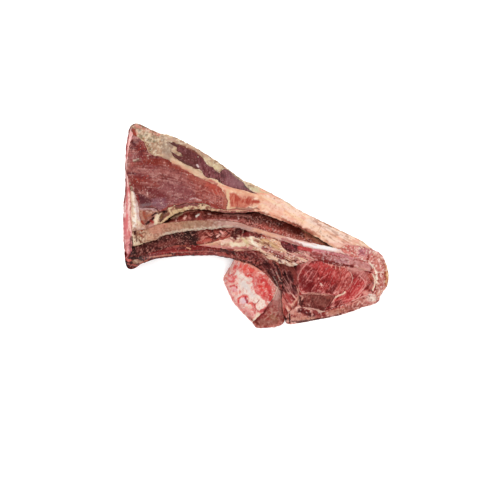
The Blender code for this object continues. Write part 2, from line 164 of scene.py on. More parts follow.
# Seams between the pieces: start corner, the points a smooth curve runs through, end corner
SEAMS = {
    # outer edge, clockwise from the belly tip
    "skin_edge": ("belly_tip", [(-197, 170), (-163, 155), (-144, 151), (-118, 140), (-79, 117)],
                  "patch_high"),
    "patch_edge": ("patch_high", [(-39, 89)], "patch_low"),
    "fat_edge": ("patch_low", [(10, 62), (50, 41), (70, 27), (110, 6), (149, -13), (174, -25)], "rim_top"),
    "rim_edge": ("rim_top", [(207, -46), (215, -58), (220, -78), (218, -98), (209, -112)], "rim_foot"),
    "back_edge": ("rim_foot", [(196, -129), (176, -134), (133, -148), (80, -158), (55, -161)], "notch"),
    "foot_edge": ("notch", [(43, -163), (30, -168), (4, -169)], "foot_left"),
    "chine_edge": ("foot_left", [(-16, -147), (-33, -129), (-45, -106), (-52, -88), (-45, -72)],
                   "chine_crook"),
    "arc_edge": ("chine_crook", [(-69, -50), (-108, -49), (-150, -52), (-181, -58), (-206, -71), (-214, -66)],
                 "rib_tip"),
    "belly_edge": ("rib_tip", [(-220, -10), (-219, 36), (-216, 60), (-216, 115), (-211, 156)], "belly_tip"),
    # round the belly end
    "belly_fat": ("belly_tip", [], "belly_shoulder"),
    "belly_flank": ("belly_shoulder", [(-210, 125), (-212, 90)], "belly_waist"),
    "belly_band": ("belly_waist", [(-206, 20)], "band_neck"),
    "belly_heel": ("band_neck", [], "band_heel"),
    "belly_meat": ("band_heel", [(-206, -43)], "rib_root"),
    "belly_rib": ("rib_root", [], "rib_tip"),
    # round the flank muscle
    "flank_top": ("belly_shoulder", [(-186, 140), (-174, 118), (-153, 113), (-128, 98), (-82, 74), (-59, 63),
                                     (-47, 43)], "flank_tail"),
    "flank_corner": ("belly_waist", [(-200, 54)], "corner_top"),
    "flank_fringe": ("corner_top", [(-169, 29), (-156, 24), (-131, 34), (-90, 38), (-69, 29)], "flank_tail"),
    # corner fat, fringe and crease
    "corner_side": ("corner_top", [(-191, 9)], "corner_foot"),
    "corner_base": ("band_neck", [], "corner_foot"),
    "corner_fringe": ("corner_foot", [], "crease_start"),
    "fringe_cover": ("flank_tail", [(-22, 28)], "fringe_end"),
    "fringe_crease": ("crease_start", [(-127, 22), (-92, 27), (-52, 22)], "fringe_end"),
    "crease_cover": ("fringe_end", [(32, 13), (65, 0), (98, -17)], "crease_end"),
    "crease_band": ("crease_start", [(-125, 7), (-92, 9), (-36, 7), (1, -4), (70, -23)], "crease_end"),
    # pale band
    "band_cover": ("crease_end", [], "band_shoulder"),
    "band_rim": ("band_shoulder", [], "band_end"),
    "band_meat": ("band_heel", [(-174, -26), (-141, -13), (-92, -7), (-39, -3)], "meat_end"),
    "band_pad": ("meat_end", [], "pad_top"),
    "band_cap": ("pad_top", [(73, -33), (126, -43)], "band_end"),
    # rib meat, fat pad and rib
    "meat_pad": ("meat_end", [(-42, -19), (-69, -26)], "pad_left"),
    "rib_meat_seam": ("pad_left", [(-130, -32), (-164, -42), (-194, -51)], "rib_root"),
    "rib_pad_seam": ("pad_left", [(-59, -37), (-4, -39), (20, -53)], "pad_foot"),
    "pad_cap": ("pad_top", [(46, -37), (58, -45), (81, -42)], "eye_crown"),
    "pad_deep": ("pad_foot", [(58, -68)], "eye_corner"),
    "pad_eye": ("eye_corner", [(84, -60)], "eye_crown"),
    # loin muscles
    "eye_cap_seam": ("eye_crown", [(124, -64)], "eye_shoulder"),
    "cap_crescent": ("eye_shoulder", [(169, -71)], "cap_tip"),
    "cap_rim": ("band_end", [(180, -59), (190, -66)], "cap_tip"),
    "crescent_rim": ("cap_tip", [(198, -92)], "knob"),
    "knob_rim": ("knob", [], "rim_foot"),
    "cover_rim": ("rim_top", [(171, -34), (150, -32)], "band_shoulder"),
    "rib_deep": ("pad_foot", [(45, -84)], "foot_top"),
    "rib_foot": ("chine_top", [], "foot_top"),
    "rib_chine": ("chine_crook", [(-9, -64), (15, -79)], "chine_top"),
    "eye_deep": ("eye_corner", [(69, -88)], "eye_heel"),
    "lower_deep": ("eye_heel", [], "lower_heel"),
    "back_deep": ("lower_heel", [(57, -140)], "notch"),
    "foot_deep": ("foot_top", [(44, -131)], "notch"),
    "foot_chine": ("chine_top", [(31, -115), (16, -138)], "foot_left"),
    "eye_crescent": ("eye_shoulder", [(160, -82), (158, -99), (147, -109)], "eye_foot"),
    "eye_lower": ("eye_heel", [(100, -111)], "eye_foot"),
    "lower_crescent": ("eye_foot", [(121, -132)], "lower_tip"),
    "lower_back": ("lower_heel", [(87, -137)], "lower_tip"),
    "crescent_back": ("lower_tip", [(146, -130), (173, -119)], "knob"),
    # torn sheet of skin muscle on the outer fat
    "patch_upper": ("patch_left", [(-126, 135), (-103, 125), (-79, 103), (-60, 88)], "patch_high"),
    "patch_lower": ("patch_left", [(-125, 111), (-92, 94), (-72, 78), (-49, 65)], "patch_tip"),
    "patch_end": ("patch_low", [(-9, 61)], "patch_tip"),
}
OUTER = ["skin_edge", "patch_edge", "fat_edge", "rim_edge", "back_edge", "foot_edge", "chine_edge",
         "arc_edge", "belly_edge"]
SMOOTH = ["crease_band", "band_cap"]
FLUSH = ["knob_rim"]

# How far the flesh bulges over the model's cut edge, in millimetres, at even steps along each outer seam
BULGE = {"skin_edge": (1, 0.5, 0.5, 1), "patch_edge": (0.8, -0.8), "fat_edge": (0.2, -0.3, 1.4, 0.2),
         "rim_edge": (0.1, -0.4, 0.2, 0), "back_edge": (0, 1.6, 1, 1.8), "foot_edge": (1.4, 0.8, 1.5),
         "chine_edge": (3.4, 2.6, 3, 1.6, -1), "arc_edge": (-1.2, 0.4, 0.6, 1.6),
         "belly_edge": (1.6, 0.6, 1.4, 0.9, 1.2)}

# Crest where the cut face turns into the flared outer skin
SKIN_CREST = [(-206, 166), (-201, 152), (-185, 143), (-172, 120), (-152, 116), (-127, 101), (-81, 77),
              (-58, 67), (-40, 63), (-16, 57), (4, 52), (12, 61)]


# Outlines

def curve_points(start, middle, end, spacing):
    """A smooth curve from start to end through the middle points: a Catmull-Rom cubic between each two."""
    through = np.array([start, *middle, end], float)
    before = 2 * through[0] - through[1]
    after = 2 * through[-1] - through[-2]
    p = np.vstack([before, through, after])
    pieces = []
    for i in range(1, len(p) - 2):
        steps = max(1, round(np.linalg.norm(p[i + 1] - p[i]) / spacing))
        t = (np.arange(steps) / steps)[:, None]
        pieces.append(0.5 * (2 * p[i] + (p[i + 1] - p[i - 1]) * t
                             + (2 * p[i - 1] - 5 * p[i] + 4 * p[i + 1] - p[i + 2]) * t ** 2
                             + (3 * p[i] - p[i - 1] - 3 * p[i + 1] + p[i + 2]) * t ** 3))
    return np.vstack([*pieces, through[-1:]])


def seam(name, spacing=SEAM_STEP):
    """The points of one named seam."""
    start, middle, end = SEAMS[name]
    return curve_points(CORNERS[start], middle, CORNERS[end], spacing)


def strayed(points, reach):
    """Points moved by a noise of their own place, so that both neighbours of a seam stay matched."""
    p = np.column_stack([points, np.zeros(len(points))])
    stray = np.column_stack([noise(p, STRAY_SIZE, seed, 2) - 0.5 for seed in STRAY_SEEDS])
    return points + STRAY_GAIN * np.reshape(reach, (-1, 1)) * stray


def whole_edge():
    """Points round the whole outline, clockwise, the outward direction at each, and how far it bulges."""
    parts = [seam(name)[:-1] for name in OUTER]
    loop = np.vstack(parts)
    bulge = np.concatenate([
        np.interp(np.linspace(0, 1, len(part)), np.linspace(0, 1, len(BULGE[name])), BULGE[name])
        for name, part in zip(OUTER, parts)])
    ahead = np.roll(loop, -1, axis=0) - np.roll(loop, 1, axis=0)
    outward = np.column_stack([-ahead[:, 1], ahead[:, 0], bulge])
    for _ in range(EDGE_ROUNDS):
        outward = (np.roll(outward, 1, axis=0) + outward + np.roll(outward, -1, axis=0)) / 3
    size = np.hypot(outward[:, 0], outward[:, 1])
    return loop, outward[:, :2] * (outward[:, 2] / size)[:, None]


def bulged(points):
    """Points near the whole outline moved outwards by its bulge, so that both neighbours stay matched."""
    loop, move = whole_edge()
    gap = np.hypot(points[:, :1] - loop[:, 0], points[:, 1:] - loop[:, 1])
    close = np.argmin(gap, axis=1)
    return points + move[close] * (1 - step(gap.min(axis=1), *BULGE_BAND))[:, None]


def outline(names):
    """Seams joined end to end into one closed, counter-clockwise outline."""
    at = [SEAMS[names[0]][0], SEAMS[names[0]][2]]
    if at[1] not in (SEAMS[names[1]][0], SEAMS[names[1]][2]):
        at.reverse()
    here = at[0]
    joined = []
    for name in names:
        start, _, end = SEAMS[name]
        points = seam(name, OUTLINE_STEP)
        forward = start == here
        joined.append(points[:-1] if forward else points[::-1][:-1])
        here = end if forward else start
    ring = np.vstack(joined)
    outer = np.minimum(seam_distance(ring[:, 0], ring[:, 1], OUTER) / SEAM_BLEND, 1)
    band = np.minimum(seam_distance(ring[:, 0], ring[:, 1], SMOOTH) / SEAM_BLEND, 1)
    reach = RAGGED_EDGE + (RAGGED - RAGGED_EDGE) * outer
    ring = strayed(ring, RAGGED_BAND + (reach - RAGGED_BAND) * band)
    following = np.roll(ring, -1, axis=0)
    area = 0.5 * np.sum(ring[:, 0] * following[:, 1] - following[:, 0] * ring[:, 1])
    ring = bulged(ring)
    return ring if area > 0 else ring[::-1]


def nearest_on(x, y, line):
    """Distance from points to a polyline, and the nearest point on it: each point against every stretch."""
    flat_x, flat_y = np.ravel(x), np.ravel(y)
    a = line[:-1]
    along = line[1:] - a
    square = np.maximum(np.sum(along ** 2, axis=1), 1e-12)
    far = np.empty(len(flat_x))
    foot = np.empty((len(flat_x), 2))
    for first in range(0, len(flat_x), CHUNK):
        px = flat_x[first:first + CHUNK, None]
        py = flat_y[first:first + CHUNK, None]
        t = np.clip(((px - a[:, 0]) * along[:, 0] + (py - a[:, 1]) * along[:, 1]) / square, 0, 1)
        fx = a[:, 0] + t * along[:, 0]
        fy = a[:, 1] + t * along[:, 1]
        d = (px - fx) ** 2 + (py - fy) ** 2
        best = np.argmin(d, axis=1)
        row = np.arange(len(best))
        far[first:first + CHUNK] = np.sqrt(d[row, best])
        foot[first:first + CHUNK] = np.stack([fx[row, best], fy[row, best]], axis=1)
    return far.reshape(np.shape(x)), foot


def distance_to(x, y, line):
    """Distance from points to a polyline."""
    return nearest_on(x, y, np.asarray(line, float))[0]


def seam_distance(x, y, names):
    """Distance from points to the nearest of some seams."""
    return np.min([distance_to(x, y, seam(name)) for name in names], axis=0)


def inside(x, y, ring):
    """Even-odd test: a point is inside if a ray to +X crosses the outline an odd number of times."""
    crossed = np.zeros(np.shape(x), bool)
    for (ax, ay), (bx, by) in zip(ring, np.roll(ring, -1, axis=0)):
        if ay != by:
            spans = (ay > y) != (by > y)
            crossed ^= spans & (x < (bx - ax) * (y - ay) / (by - ay) + ax)
    return crossed


# Noise, masks and colours

# Large numbers that scramble a lattice point's place and the seed into a random value
PRIMES = (73856093, 19349663, 83492791, 26544357, 1274126177)


def lattice(p, seed):
    """Smooth noise from 0 to 1: random values at whole-number points, eased between them by 3t2 - 2t3."""
    cell = np.floor(p).astype(np.int64)
    part = p - cell
    ease = part * part * (3 - 2 * part)
    total = np.zeros(len(p))
    for dx in (0, 1):
        for dy in (0, 1):
            for dz in (0, 1):
                h = ((cell[:, 0] + dx) * PRIMES[0] ^ (cell[:, 1] + dy) * PRIMES[1]
                     ^ (cell[:, 2] + dz) * PRIMES[2] ^ (seed * PRIMES[3]))
                h = (h ^ (h >> 13)) * PRIMES[4]
                value = ((h ^ (h >> 16)) & 65535) / 65535
                weight = ((ease[:, 0] if dx else 1 - ease[:, 0]) * (ease[:, 1] if dy else 1 - ease[:, 1])
                          * (ease[:, 2] if dz else 1 - ease[:, 2]))
                total += weight * value
    return total


def noise(p, size, seed, octaves=3):
    """Noise from 0 to 1, its forms about size across: octaves summed, each half as wide and strong."""
    q = p / size
    total = np.zeros(len(p))
    reach = 0.0
    for octave in range(octaves):
        total += lattice(q * 2 ** octave + 17.3 * octave, seed + 101 * octave) / 2 ** octave
        reach += 1 / 2 ** octave
    return total / reach


def turned(p, degrees, along, across):
    """Points turned so that a direction lies on X, then divided by a length along it and a width across."""
    a = np.radians(degrees)
    u = (p[:, 0] * np.cos(a) + p[:, 1] * np.sin(a)) / along
    v = (-p[:, 0] * np.sin(a) + p[:, 1] * np.cos(a)) / across
    return np.stack([u, v, p[:, 2] / along], axis=1)


def even(value):
    """The rank of each value among all, from 0 to 1: each tenth of a ramp takes a tenth of the surface."""
    rank = np.empty(len(value))
    rank[np.argsort(value, kind="stable")] = np.linspace(0, 1, len(value))
    return rank


def step(value, low, high):
    """A smooth step from 0 at low to 1 at high."""
    t = np.clip((value - low) / (high - low), 0, 1)
    return t * t * (3 - 2 * t)


def linear(code):
    """An sRGB hex colour as linear red, green and blue."""
    c = np.array([int(code[i:i + 2], 16) for i in (0, 2, 4)]) / 255
    return np.where(c <= 0.04045, c / 12.92, ((c + 0.055) / 1.055) ** 2.4)


def ramp(value, stops):
    """Colours blended in linear light, from (value, hex) pairs in rising order or hex colours at STOPS."""
    if isinstance(stops[0], str):
        stops = list(zip(STOPS[len(stops)], stops))
    at = [stop for stop, _ in stops]
    codes = np.array([linear(code) for _, code in stops])
    return np.stack([np.interp(value, at, codes[:, i]) for i in range(3)], axis=1)


class Coat:
    """Colour, relief and moisture of the shown face of one piece, laid on mark by mark in millimetres.

    tint is the colour, rise how far the surface stands proud and wet the film of juice from 0 to 1. Each mark
    takes the next seed, so two marks never share their ragged edge.
    """

    def __init__(self, x, y, edge, seed):
        self.x, self.y, self.edge, self.seed = x, y, edge, seed
        self.p = np.stack([x, y, np.full(len(x), 0.37 * seed)], axis=1)
        self.tint = np.zeros((len(x), 3))
        self.rise = np.zeros(len(x))
        self.wet = np.full(len(x), 0.4)

    def noise(self, size, octaves=3):
        """Cloudy noise from 0 to 1."""
        self.seed += 1
        return noise(self.p, size, self.seed, octaves)

    def fibres(self, degrees, length, width, octaves=2, bend=None):
        """Streaks from 0 to 1 along a direction; bend moves them sideways."""
        self.seed += 1
        p = self.p if bend is None else self.p + np.stack([0 * bend, bend, 0 * bend], axis=1)
        return noise(turned(p, degrees, length, width), 1.0, self.seed, octaves)

    def ground(self, value, stops, relief):
        """The first colour, read from a ramp by rank, and a relief in millimetres from the same value."""
        rank = even(value)
        self.tint = ramp(rank, stops)
        self.rise += relief * (rank - 0.6)

    def lay(self, mask, code, rise=0.0, wet=0.0, at=slice(None)):
        """Lay a colour, a rise in millimetres and some moisture where the mask is 1."""
        mask = np.clip(mask, 0, 1)
        self.tint[at] += (linear(code) - self.tint[at]) * mask[:, None]
        self.rise[at] += rise * mask
        self.wet[at] += wet * mask

    def near(self, points, margin):
        """Which points lie in the box round some places, a margin wider."""
        low, high = np.min(points, axis=0) - margin, np.max(points, axis=0) + margin
        return np.flatnonzero((self.x > low[0]) & (self.x < high[0]) & (self.y > low[1]) & (self.y < high[1]))

    def mark(self, points, width, code, share=0.9, rise=0.0, rough=0.7, soft=0.8, wet=0.0):
        """A band of a width along a line, x and y in turn, or a spot at one point, with a ragged edge."""
        self.seed += 1
        line = np.array(points, float).reshape(-1, 2)
        at = self.near(line, width * 1.6)
        if len(line) == 1:
            line = np.vstack([line, line])
        reach = distance_to(self.x[at], self.y[at], line) / (width / 2)
        reach += rough * (noise(self.p[at], max(0.7 * width, 1.6), self.seed) - 0.5) * 2
        self.lay(share * step(-reach, -1 - soft / 2, -1 + soft / 2), code, rise, wet, at)

    def marks(self, *rows):
        """Marks in turn, each a row of line, width, colour, share, rise, rough, soft and wet."""
        for row in rows:
            self.mark(*row)

    def patch(self, ring, code, share=0.9, rise=0.0, wet=0.0, soft=2.0, rough=1.5, size=5.0):
        """A filled outline, x and y in turn, with an edge softened over a width and moved by noise."""
        self.seed += 1
        ring = np.array(ring, float).reshape(-1, 2)
        at = self.near(ring, soft + rough)
        x, y = self.x[at], self.y[at]
        far = distance_to(x, y, np.vstack([ring, ring[:1]]))
        signed = np.where(inside(x, y, ring), far, -far)
        signed += rough * (noise(self.p[at], size, self.seed) - 0.5) * 2
        self.lay(share * step(signed, -soft / 2, soft / 2), code, rise, wet, at)

    def specks(self, size, part, code, share=0.9, rise=0.0, wet=0.0, within=1.0):
        """Scattered specks over a part of the surface: the highest ranks of a fine noise."""
        rank = even(self.noise(size, 2))
        self.lay(share * step(rank, 1 - part * 1.3, 1 - part * 0.7) * within, code, rise, wet)


# Heights, the same as the model's

def face(x):
    """Height of the shown cut face, rising evenly from the belly end to the loin."""
    return FACE_HEIGHT_BELLY + (FACE_HEIGHT_LOIN - FACE_HEIGHT_BELLY) * (x - BELLY_X) / (LOIN_X - BELLY_X)


def across(x, y, inner, outer):
    """How far a point lies from the inner seams (0) towards the outer seams (1)."""
    near = seam_distance(x, y, inner)
    far = seam_distance(x, y, outer)
    return near / np.maximum(near + far, 1e-6)


def flat_top(offset):
    """A top that follows the cut face, raised or sunk by an offset."""
    return lambda x, y: face(x) + offset


def sloping_top(inner, outer, start, drop, power=1.0):
    """A top that leaves the inner seams at an offset and drops towards the outer seams."""
    return lambda x, y: face(x) + start - drop * across(x, y, inner, outer) ** power


def domed_top(names, rise, reach):
    """A top that rises from the outline of a muscle to its middle."""
    def top(x, y):
        edge = seam_distance(x, y, names)
        return face(x) + rise * (1 - (1 - np.clip(edge / reach, 0, 1)) ** 2)
    return top


def skin_share(x, y):
    """How far a point lies down the flared outer skin: 0 on the cut face, 1 at the outline."""
    crest = np.array(SKIN_CREST, float)
    crest_y = np.interp(x, crest[:, 0], crest[:, 1])
    near = distance_to(x, y, crest)
    skin = seam_distance(x, y, ["skin_edge", "patch_edge"])
    outside = (y > crest_y) & (x < crest[-1, 0])
    return np.where(outside, near / np.maximum(near + skin, 1e-6), 0)


def cover_top(x, y):
    """The fat cover: flat on the cut face, rounded at the thin edge, flared outwards below the skin crest."""
    width, drop = THIN_EDGE
    rounded = drop * (1 - np.clip(seam_distance(x, y, ["fat_edge"]) / width, 0, 1)) ** 2
    flared = SKIN_EDGE_HEIGHT + (face(x) - SKIN_EDGE_HEIGHT) * (1 - skin_share(x, y) ** FLARE_POWER)
    return np.minimum(flared, face(x) - rounded)


back_top = sloping_top(["lower_back", "crescent_back"], ["back_edge"], 0, 10, 2)
rim_slope = sloping_top(["cover_rim", "band_rim", "cap_rim", "crescent_rim", "knob_rim"],
                        ["rim_edge"], 0, 18, 2)


def rim_top(x, y):
    """The rim's slope, brought down to meet the back strip just before the knob's seam."""
    share = step(seam_distance(x, y, FLUSH), 0, KNOB_BLEND)
    return rim_slope(x, y) * share + np.minimum(back_top(x, y), rim_slope(x, y)) * (1 - share)


# Surfaces

def kept_cells(ring, cell):
    """Grid lines over the outline's box, and which square cells have their centre inside the outline."""
    low = ring.min(axis=0) - cell
    count = np.ceil((ring.max(axis=0) + cell - low) / cell).astype(int)
    gx = low[0] + cell * np.arange(count[0] + 1)
    gy = low[1] + cell * np.arange(count[1] + 1)
    cx, cy = np.meshgrid(gx[:-1] + cell / 2, gy[:-1] + cell / 2)
    keep = inside(cx, cy, ring)
    for _ in range(MEND_ROUNDS):
        a, b, c, d = keep[:-1, :-1], keep[:-1, 1:], keep[1:, :-1], keep[1:, 1:]
        b |= a & d & ~b & ~c
        a |= b & c & ~a & ~d
    grown = np.zeros_like(keep)
    rows, columns = np.nonzero(keep)
    middle = len(rows) // 2
    grown[rows[middle], columns[middle]] = True
    size = 0
    while grown.sum() > size:
        size = grown.sum()
        for _ in range(8):
            grown[1:] |= grown[:-1]
            grown[:-1] |= grown[1:]
            grown[:, 1:] |= grown[:, :-1]
            grown[:, :-1] |= grown[:, 1:]
            grown &= keep
    return gx, gy, grown


def snapped_grid(ring, cell):
    """Square cells inside an outline, their rim points moved onto it, the next points evened out.

    Gives x, y, the quads, the rim edges in counter-clockwise order, and the distance to the outline up to
    EDGE_REACH.
    """
    gx, gy, keep = kept_cells(ring, cell)
    rows, columns = np.nonzero(keep)
    wide = len(gx)
    corner = rows * wide + columns
    quads = np.stack([corner, corner + 1, corner + wide + 1, corner + wide], axis=1)
    padded = np.pad(keep, 1)
    rims = []
    for (dr, dc), (a, b) in {(-1, 0): (0, 1), (0, 1): (1, 2), (1, 0): (2, 3), (0, -1): (3, 0)}.items():
        bare = ~padded[rows + 1 + dr, columns + 1 + dc]
        rims.append(np.stack([quads[bare, a], quads[bare, b]], axis=1))
    rims = np.vstack(rims)
    core = padded.copy()
    for _ in range(int(EDGE_REACH / cell)):
        core[1:-1, 1:-1] &= core[:-2, 1:-1] & core[2:, 1:-1] & core[1:-1, :-2] & core[1:-1, 2:]
    outer_quads = quads[~core[rows + 1, columns + 1]]
    used, flat = np.unique(quads, return_inverse=True)
    quads = flat.reshape(-1, 4)
    rims = np.searchsorted(used, rims)
    x, y = gx[used % wide].copy(), gy[used // wide].copy()
    rim = np.unique(rims)
    closed = np.vstack([ring, ring[:1]])
    _, foot = nearest_on(x[rim], y[rim], closed)
    x[rim], y[rim] = foot[:, 0], foot[:, 1]
    edges = np.vstack([quads[:, [0, 1]], quads[:, [1, 2]], quads[:, [2, 3]], quads[:, [3, 0]]])
    ends, others = np.ravel(edges), np.ravel(edges[:, ::-1])
    degree = np.maximum(np.bincount(ends, minlength=len(x)), 1)
    free = np.ones(len(x), bool)
    free[rim] = False
    for _ in range(GRID_ROUNDS):
        even_x = np.bincount(ends, x[others], len(x)) / degree
        even_y = np.bincount(ends, y[others], len(x)) / degree
        x = np.where(free, even_x, x)
        y = np.where(free, even_y, y)
    edge = np.full(len(x), EDGE_REACH)
    close = np.searchsorted(used, np.unique(outer_quads))
    edge[close] = np.minimum(distance_to(x[close], y[close], closed), EDGE_REACH)
    return x, y, quads, rims, edge


def rim_normals(x, y, rims):
    """Outward direction at each rim point: the mean of its rim edges turned to the right, then smoothed."""
    ax, ay = x[rims[:, 1]] - x[rims[:, 0]], y[rims[:, 1]] - y[rims[:, 0]]
    nx = np.bincount(np.ravel(rims), np.repeat(ay, 2), len(x))
    ny = np.bincount(np.ravel(rims), np.repeat(-ax, 2), len(x))
    for _ in range(RIM_ROUNDS):
        nx, ny = (n + np.bincount(np.ravel(rims), np.ravel(n[rims[:, ::-1]]), len(x)) / 2 for n in (nx, ny))
    size = np.maximum(np.hypot(nx, ny), 1e-9)
    return nx / size, ny / size


def walls_between(rims, place, levels):
    """Quads that join each level of rim points to the level below it."""
    a, b = place[rims[:, 0]], place[rims[:, 1]]
    return np.vstack([np.stack([upper[b], upper[a], lower[a], lower[b]], axis=1)
                      for upper, lower in zip(levels[:-1], levels[1:])])


def make_mesh(name, points, faces, tint, grain, wet):
    """A mesh of quads in metres, with its tint, its grain and its moisture as attributes."""
    mesh = bpy.data.meshes.new(name)
    mesh.vertices.add(len(points))
    mesh.vertices.foreach_set("co", np.ravel(points * MM).astype(np.float32))
    mesh.loops.add(faces.size)
    mesh.loops.foreach_set("vertex_index", np.ravel(faces).astype(np.int32))
    mesh.polygons.add(len(faces))
    mesh.polygons.foreach_set("loop_start", np.arange(0, faces.size, 4, dtype=np.int32))
    mesh.update()
    mesh.validate()
    mesh.shade_smooth()
    colour = mesh.attributes.new("tint", "FLOAT_COLOR", "POINT")
    colour.data.foreach_set("color", np.ravel(np.hstack([tint, np.ones((len(tint), 1))])).astype(np.float32))
    fibre = mesh.attributes.new("grain", "FLOAT_VECTOR", "POINT")
    fibre.data.foreach_set("vector", np.ravel(grain).astype(np.float32))
    film = mesh.attributes.new("wet", "FLOAT", "POINT")
    film.data.foreach_set("value", np.clip(wet, 0, 1).astype(np.float32))
    return mesh


# Materials

def add(tree, kind, place, settings=None, **links):
    """Add one shader node at a place, set its properties or inputs, and link its inputs from sockets."""
    node = tree.nodes.new(kind)
    node.location = place
    for key, value in (settings or {}).items():
        if key in node.inputs:
            node.inputs[key].default_value = value
        else:
            setattr(node, key, value)
    for key, source in links.items():
        tree.links.new(source, node.inputs[key.replace("_", " ")])
    return node


def tissue(name, grain_size, contrast, dry, film, bump, scatter):
    """Raw tissue: the painted tint, broken up by grain along the fibres, under a thin moist film.

    grain_size is the width of a fibre in millimetres, contrast how far the grain darkens and lightens the
    tint, dry and film the roughness where it is dry and where it is wet, bump the height of the grain in
    millimetres and scatter the share of light that goes into the tissue.
    """
    material = bpy.data.materials.new(name)
    material.use_nodes = True
    tree = material.node_tree
    shader = tree.nodes["Principled BSDF"]
    tint = add(tree, "ShaderNodeAttribute", (-1200, 300), {"attribute_name": "tint"})
    grain = add(tree, "ShaderNodeAttribute", (-1200, 0), {"attribute_name": "grain"})
    wet = add(tree, "ShaderNodeAttribute", (-1200, -300), {"attribute_name": "wet"})
    fine = add(tree, "ShaderNodeTexNoise", (-1000, 0),
               {"Scale": 1 / grain_size, "Detail": 4.0, "Roughness": 0.6}, Vector=grain.outputs["Vector"])
    coarse = add(tree, "ShaderNodeTexNoise", (-1000, -200),
                 {"Scale": 0.28 / grain_size, "Detail": 2.0, "Roughness": 0.5},
                 Vector=grain.outputs["Vector"])
    both = add(tree, "ShaderNodeMath", (-800, -60), {"operation": "ADD"})
    tree.links.new(fine.outputs["Fac"], both.inputs[0])
    tree.links.new(coarse.outputs["Fac"], both.inputs[1])
    shade = add(tree, "ShaderNodeMapRange", (-620, -60),
                {"From Min": 0.62, "From Max": 1.38, "To Min": 1 - contrast, "To Max": 1 + contrast},
                Value=both.outputs[0])
    colour = add(tree, "ShaderNodeVectorMath", (-420, 200), {"operation": "SCALE"})
    tree.links.new(tint.outputs["Color"], colour.inputs[0])
    tree.links.new(shade.outputs["Result"], colour.inputs["Scale"])
    tree.links.new(colour.outputs["Vector"], shader.inputs["Base Color"])
    gloss = add(tree, "ShaderNodeMapRange", (-420, -200), {"To Min": dry, "To Max": film},
                Value=wet.outputs["Fac"])
    tree.links.new(gloss.outputs["Result"], shader.inputs["Roughness"])
    relief = add(tree, "ShaderNodeBump", (-420, -420), {"Strength": 0.7, "Distance": bump * MM},
                 Height=both.outputs[0])
    tree.links.new(relief.outputs["Normal"], shader.inputs["Normal"])
    shader.inputs["IOR"].default_value = 1.4
    shader.inputs["Specular IOR Level"].default_value = 0.2
    shader.inputs["Specular Tint"].default_value = (1.0, 0.75, 0.7, 1.0)
    shader.inputs["Subsurface Weight"].default_value = scatter
    shader.inputs["Subsurface Radius"].default_value = (1.0, 0.35, 0.2)
    shader.inputs["Subsurface Scale"].default_value = 0.002
    return material


MATERIALS = {
    # moist raw lean, sliced across: soft red fibres under a film of juice
    "red_lean": tissue("raw_beef_lean", 0.9, 0.16, 0.6, 0.3, 0.25, 0.1),
    # dark lean torn in the crease: coarse and wet
    "dark_lean": tissue("raw_beef_dark_lean", 1.3, 0.25, 0.55, 0.28, 0.5, 0.03),
    # mauve brown lean, a little drier
    "brown_lean": tissue("raw_beef_brown_lean", 1.1, 0.18, 0.6, 0.35, 0.35, 0.05),
    # pink lean dried at the surface
    "pink_lean": tissue("raw_beef_dried_lean", 1.0, 0.14, 0.65, 0.4, 0.3, 0.1),
    # sliced hard fat: smooth and waxy
    "peach_fat": tissue("raw_beef_hard_fat", 1.4, 0.05, 0.6, 0.42, 0.15, 0.15),
    # torn yellow fat: lumpy
    "cream_fat": tissue("raw_beef_torn_fat", 1.6, 0.12, 0.65, 0.42, 0.45, 0.1),
    # fat and lean trimmed off with a knife, dried
    "pink_trim": tissue("raw_beef_dried_trim", 1.4, 0.08, 0.65, 0.42, 0.3, 0.12),
    # thin muscle dried to a leathery sheet
    "skin_muscle": tissue("dried_beef_muscle_sheet", 0.9, 0.16, 0.65, 0.4, 0.25, 0.03),
    # cartilage and sinew: hard and smooth
    "pale_band": tissue("raw_beef_cartilage", 1.1, 0.08, 0.55, 0.36, 0.2, 0.12),
    # rib lining: a shiny skin over bone
    "rib_inside": tissue("raw_beef_rib_lining", 1.0, 0.16, 0.5, 0.26, 0.25, 0.03),
    # sawn spongy bone
    "sawn_bone": tissue("sawn_beef_bone", 0.9, 0.1, 0.65, 0.4, 0.3, 0.08),
}


# Paint of each piece

PAINT = {}


def painter(function):
    """Keep a painting function under the name of the piece it paints."""
    PAINT[function.__name__.removeprefix("paint_")] = function
    return function


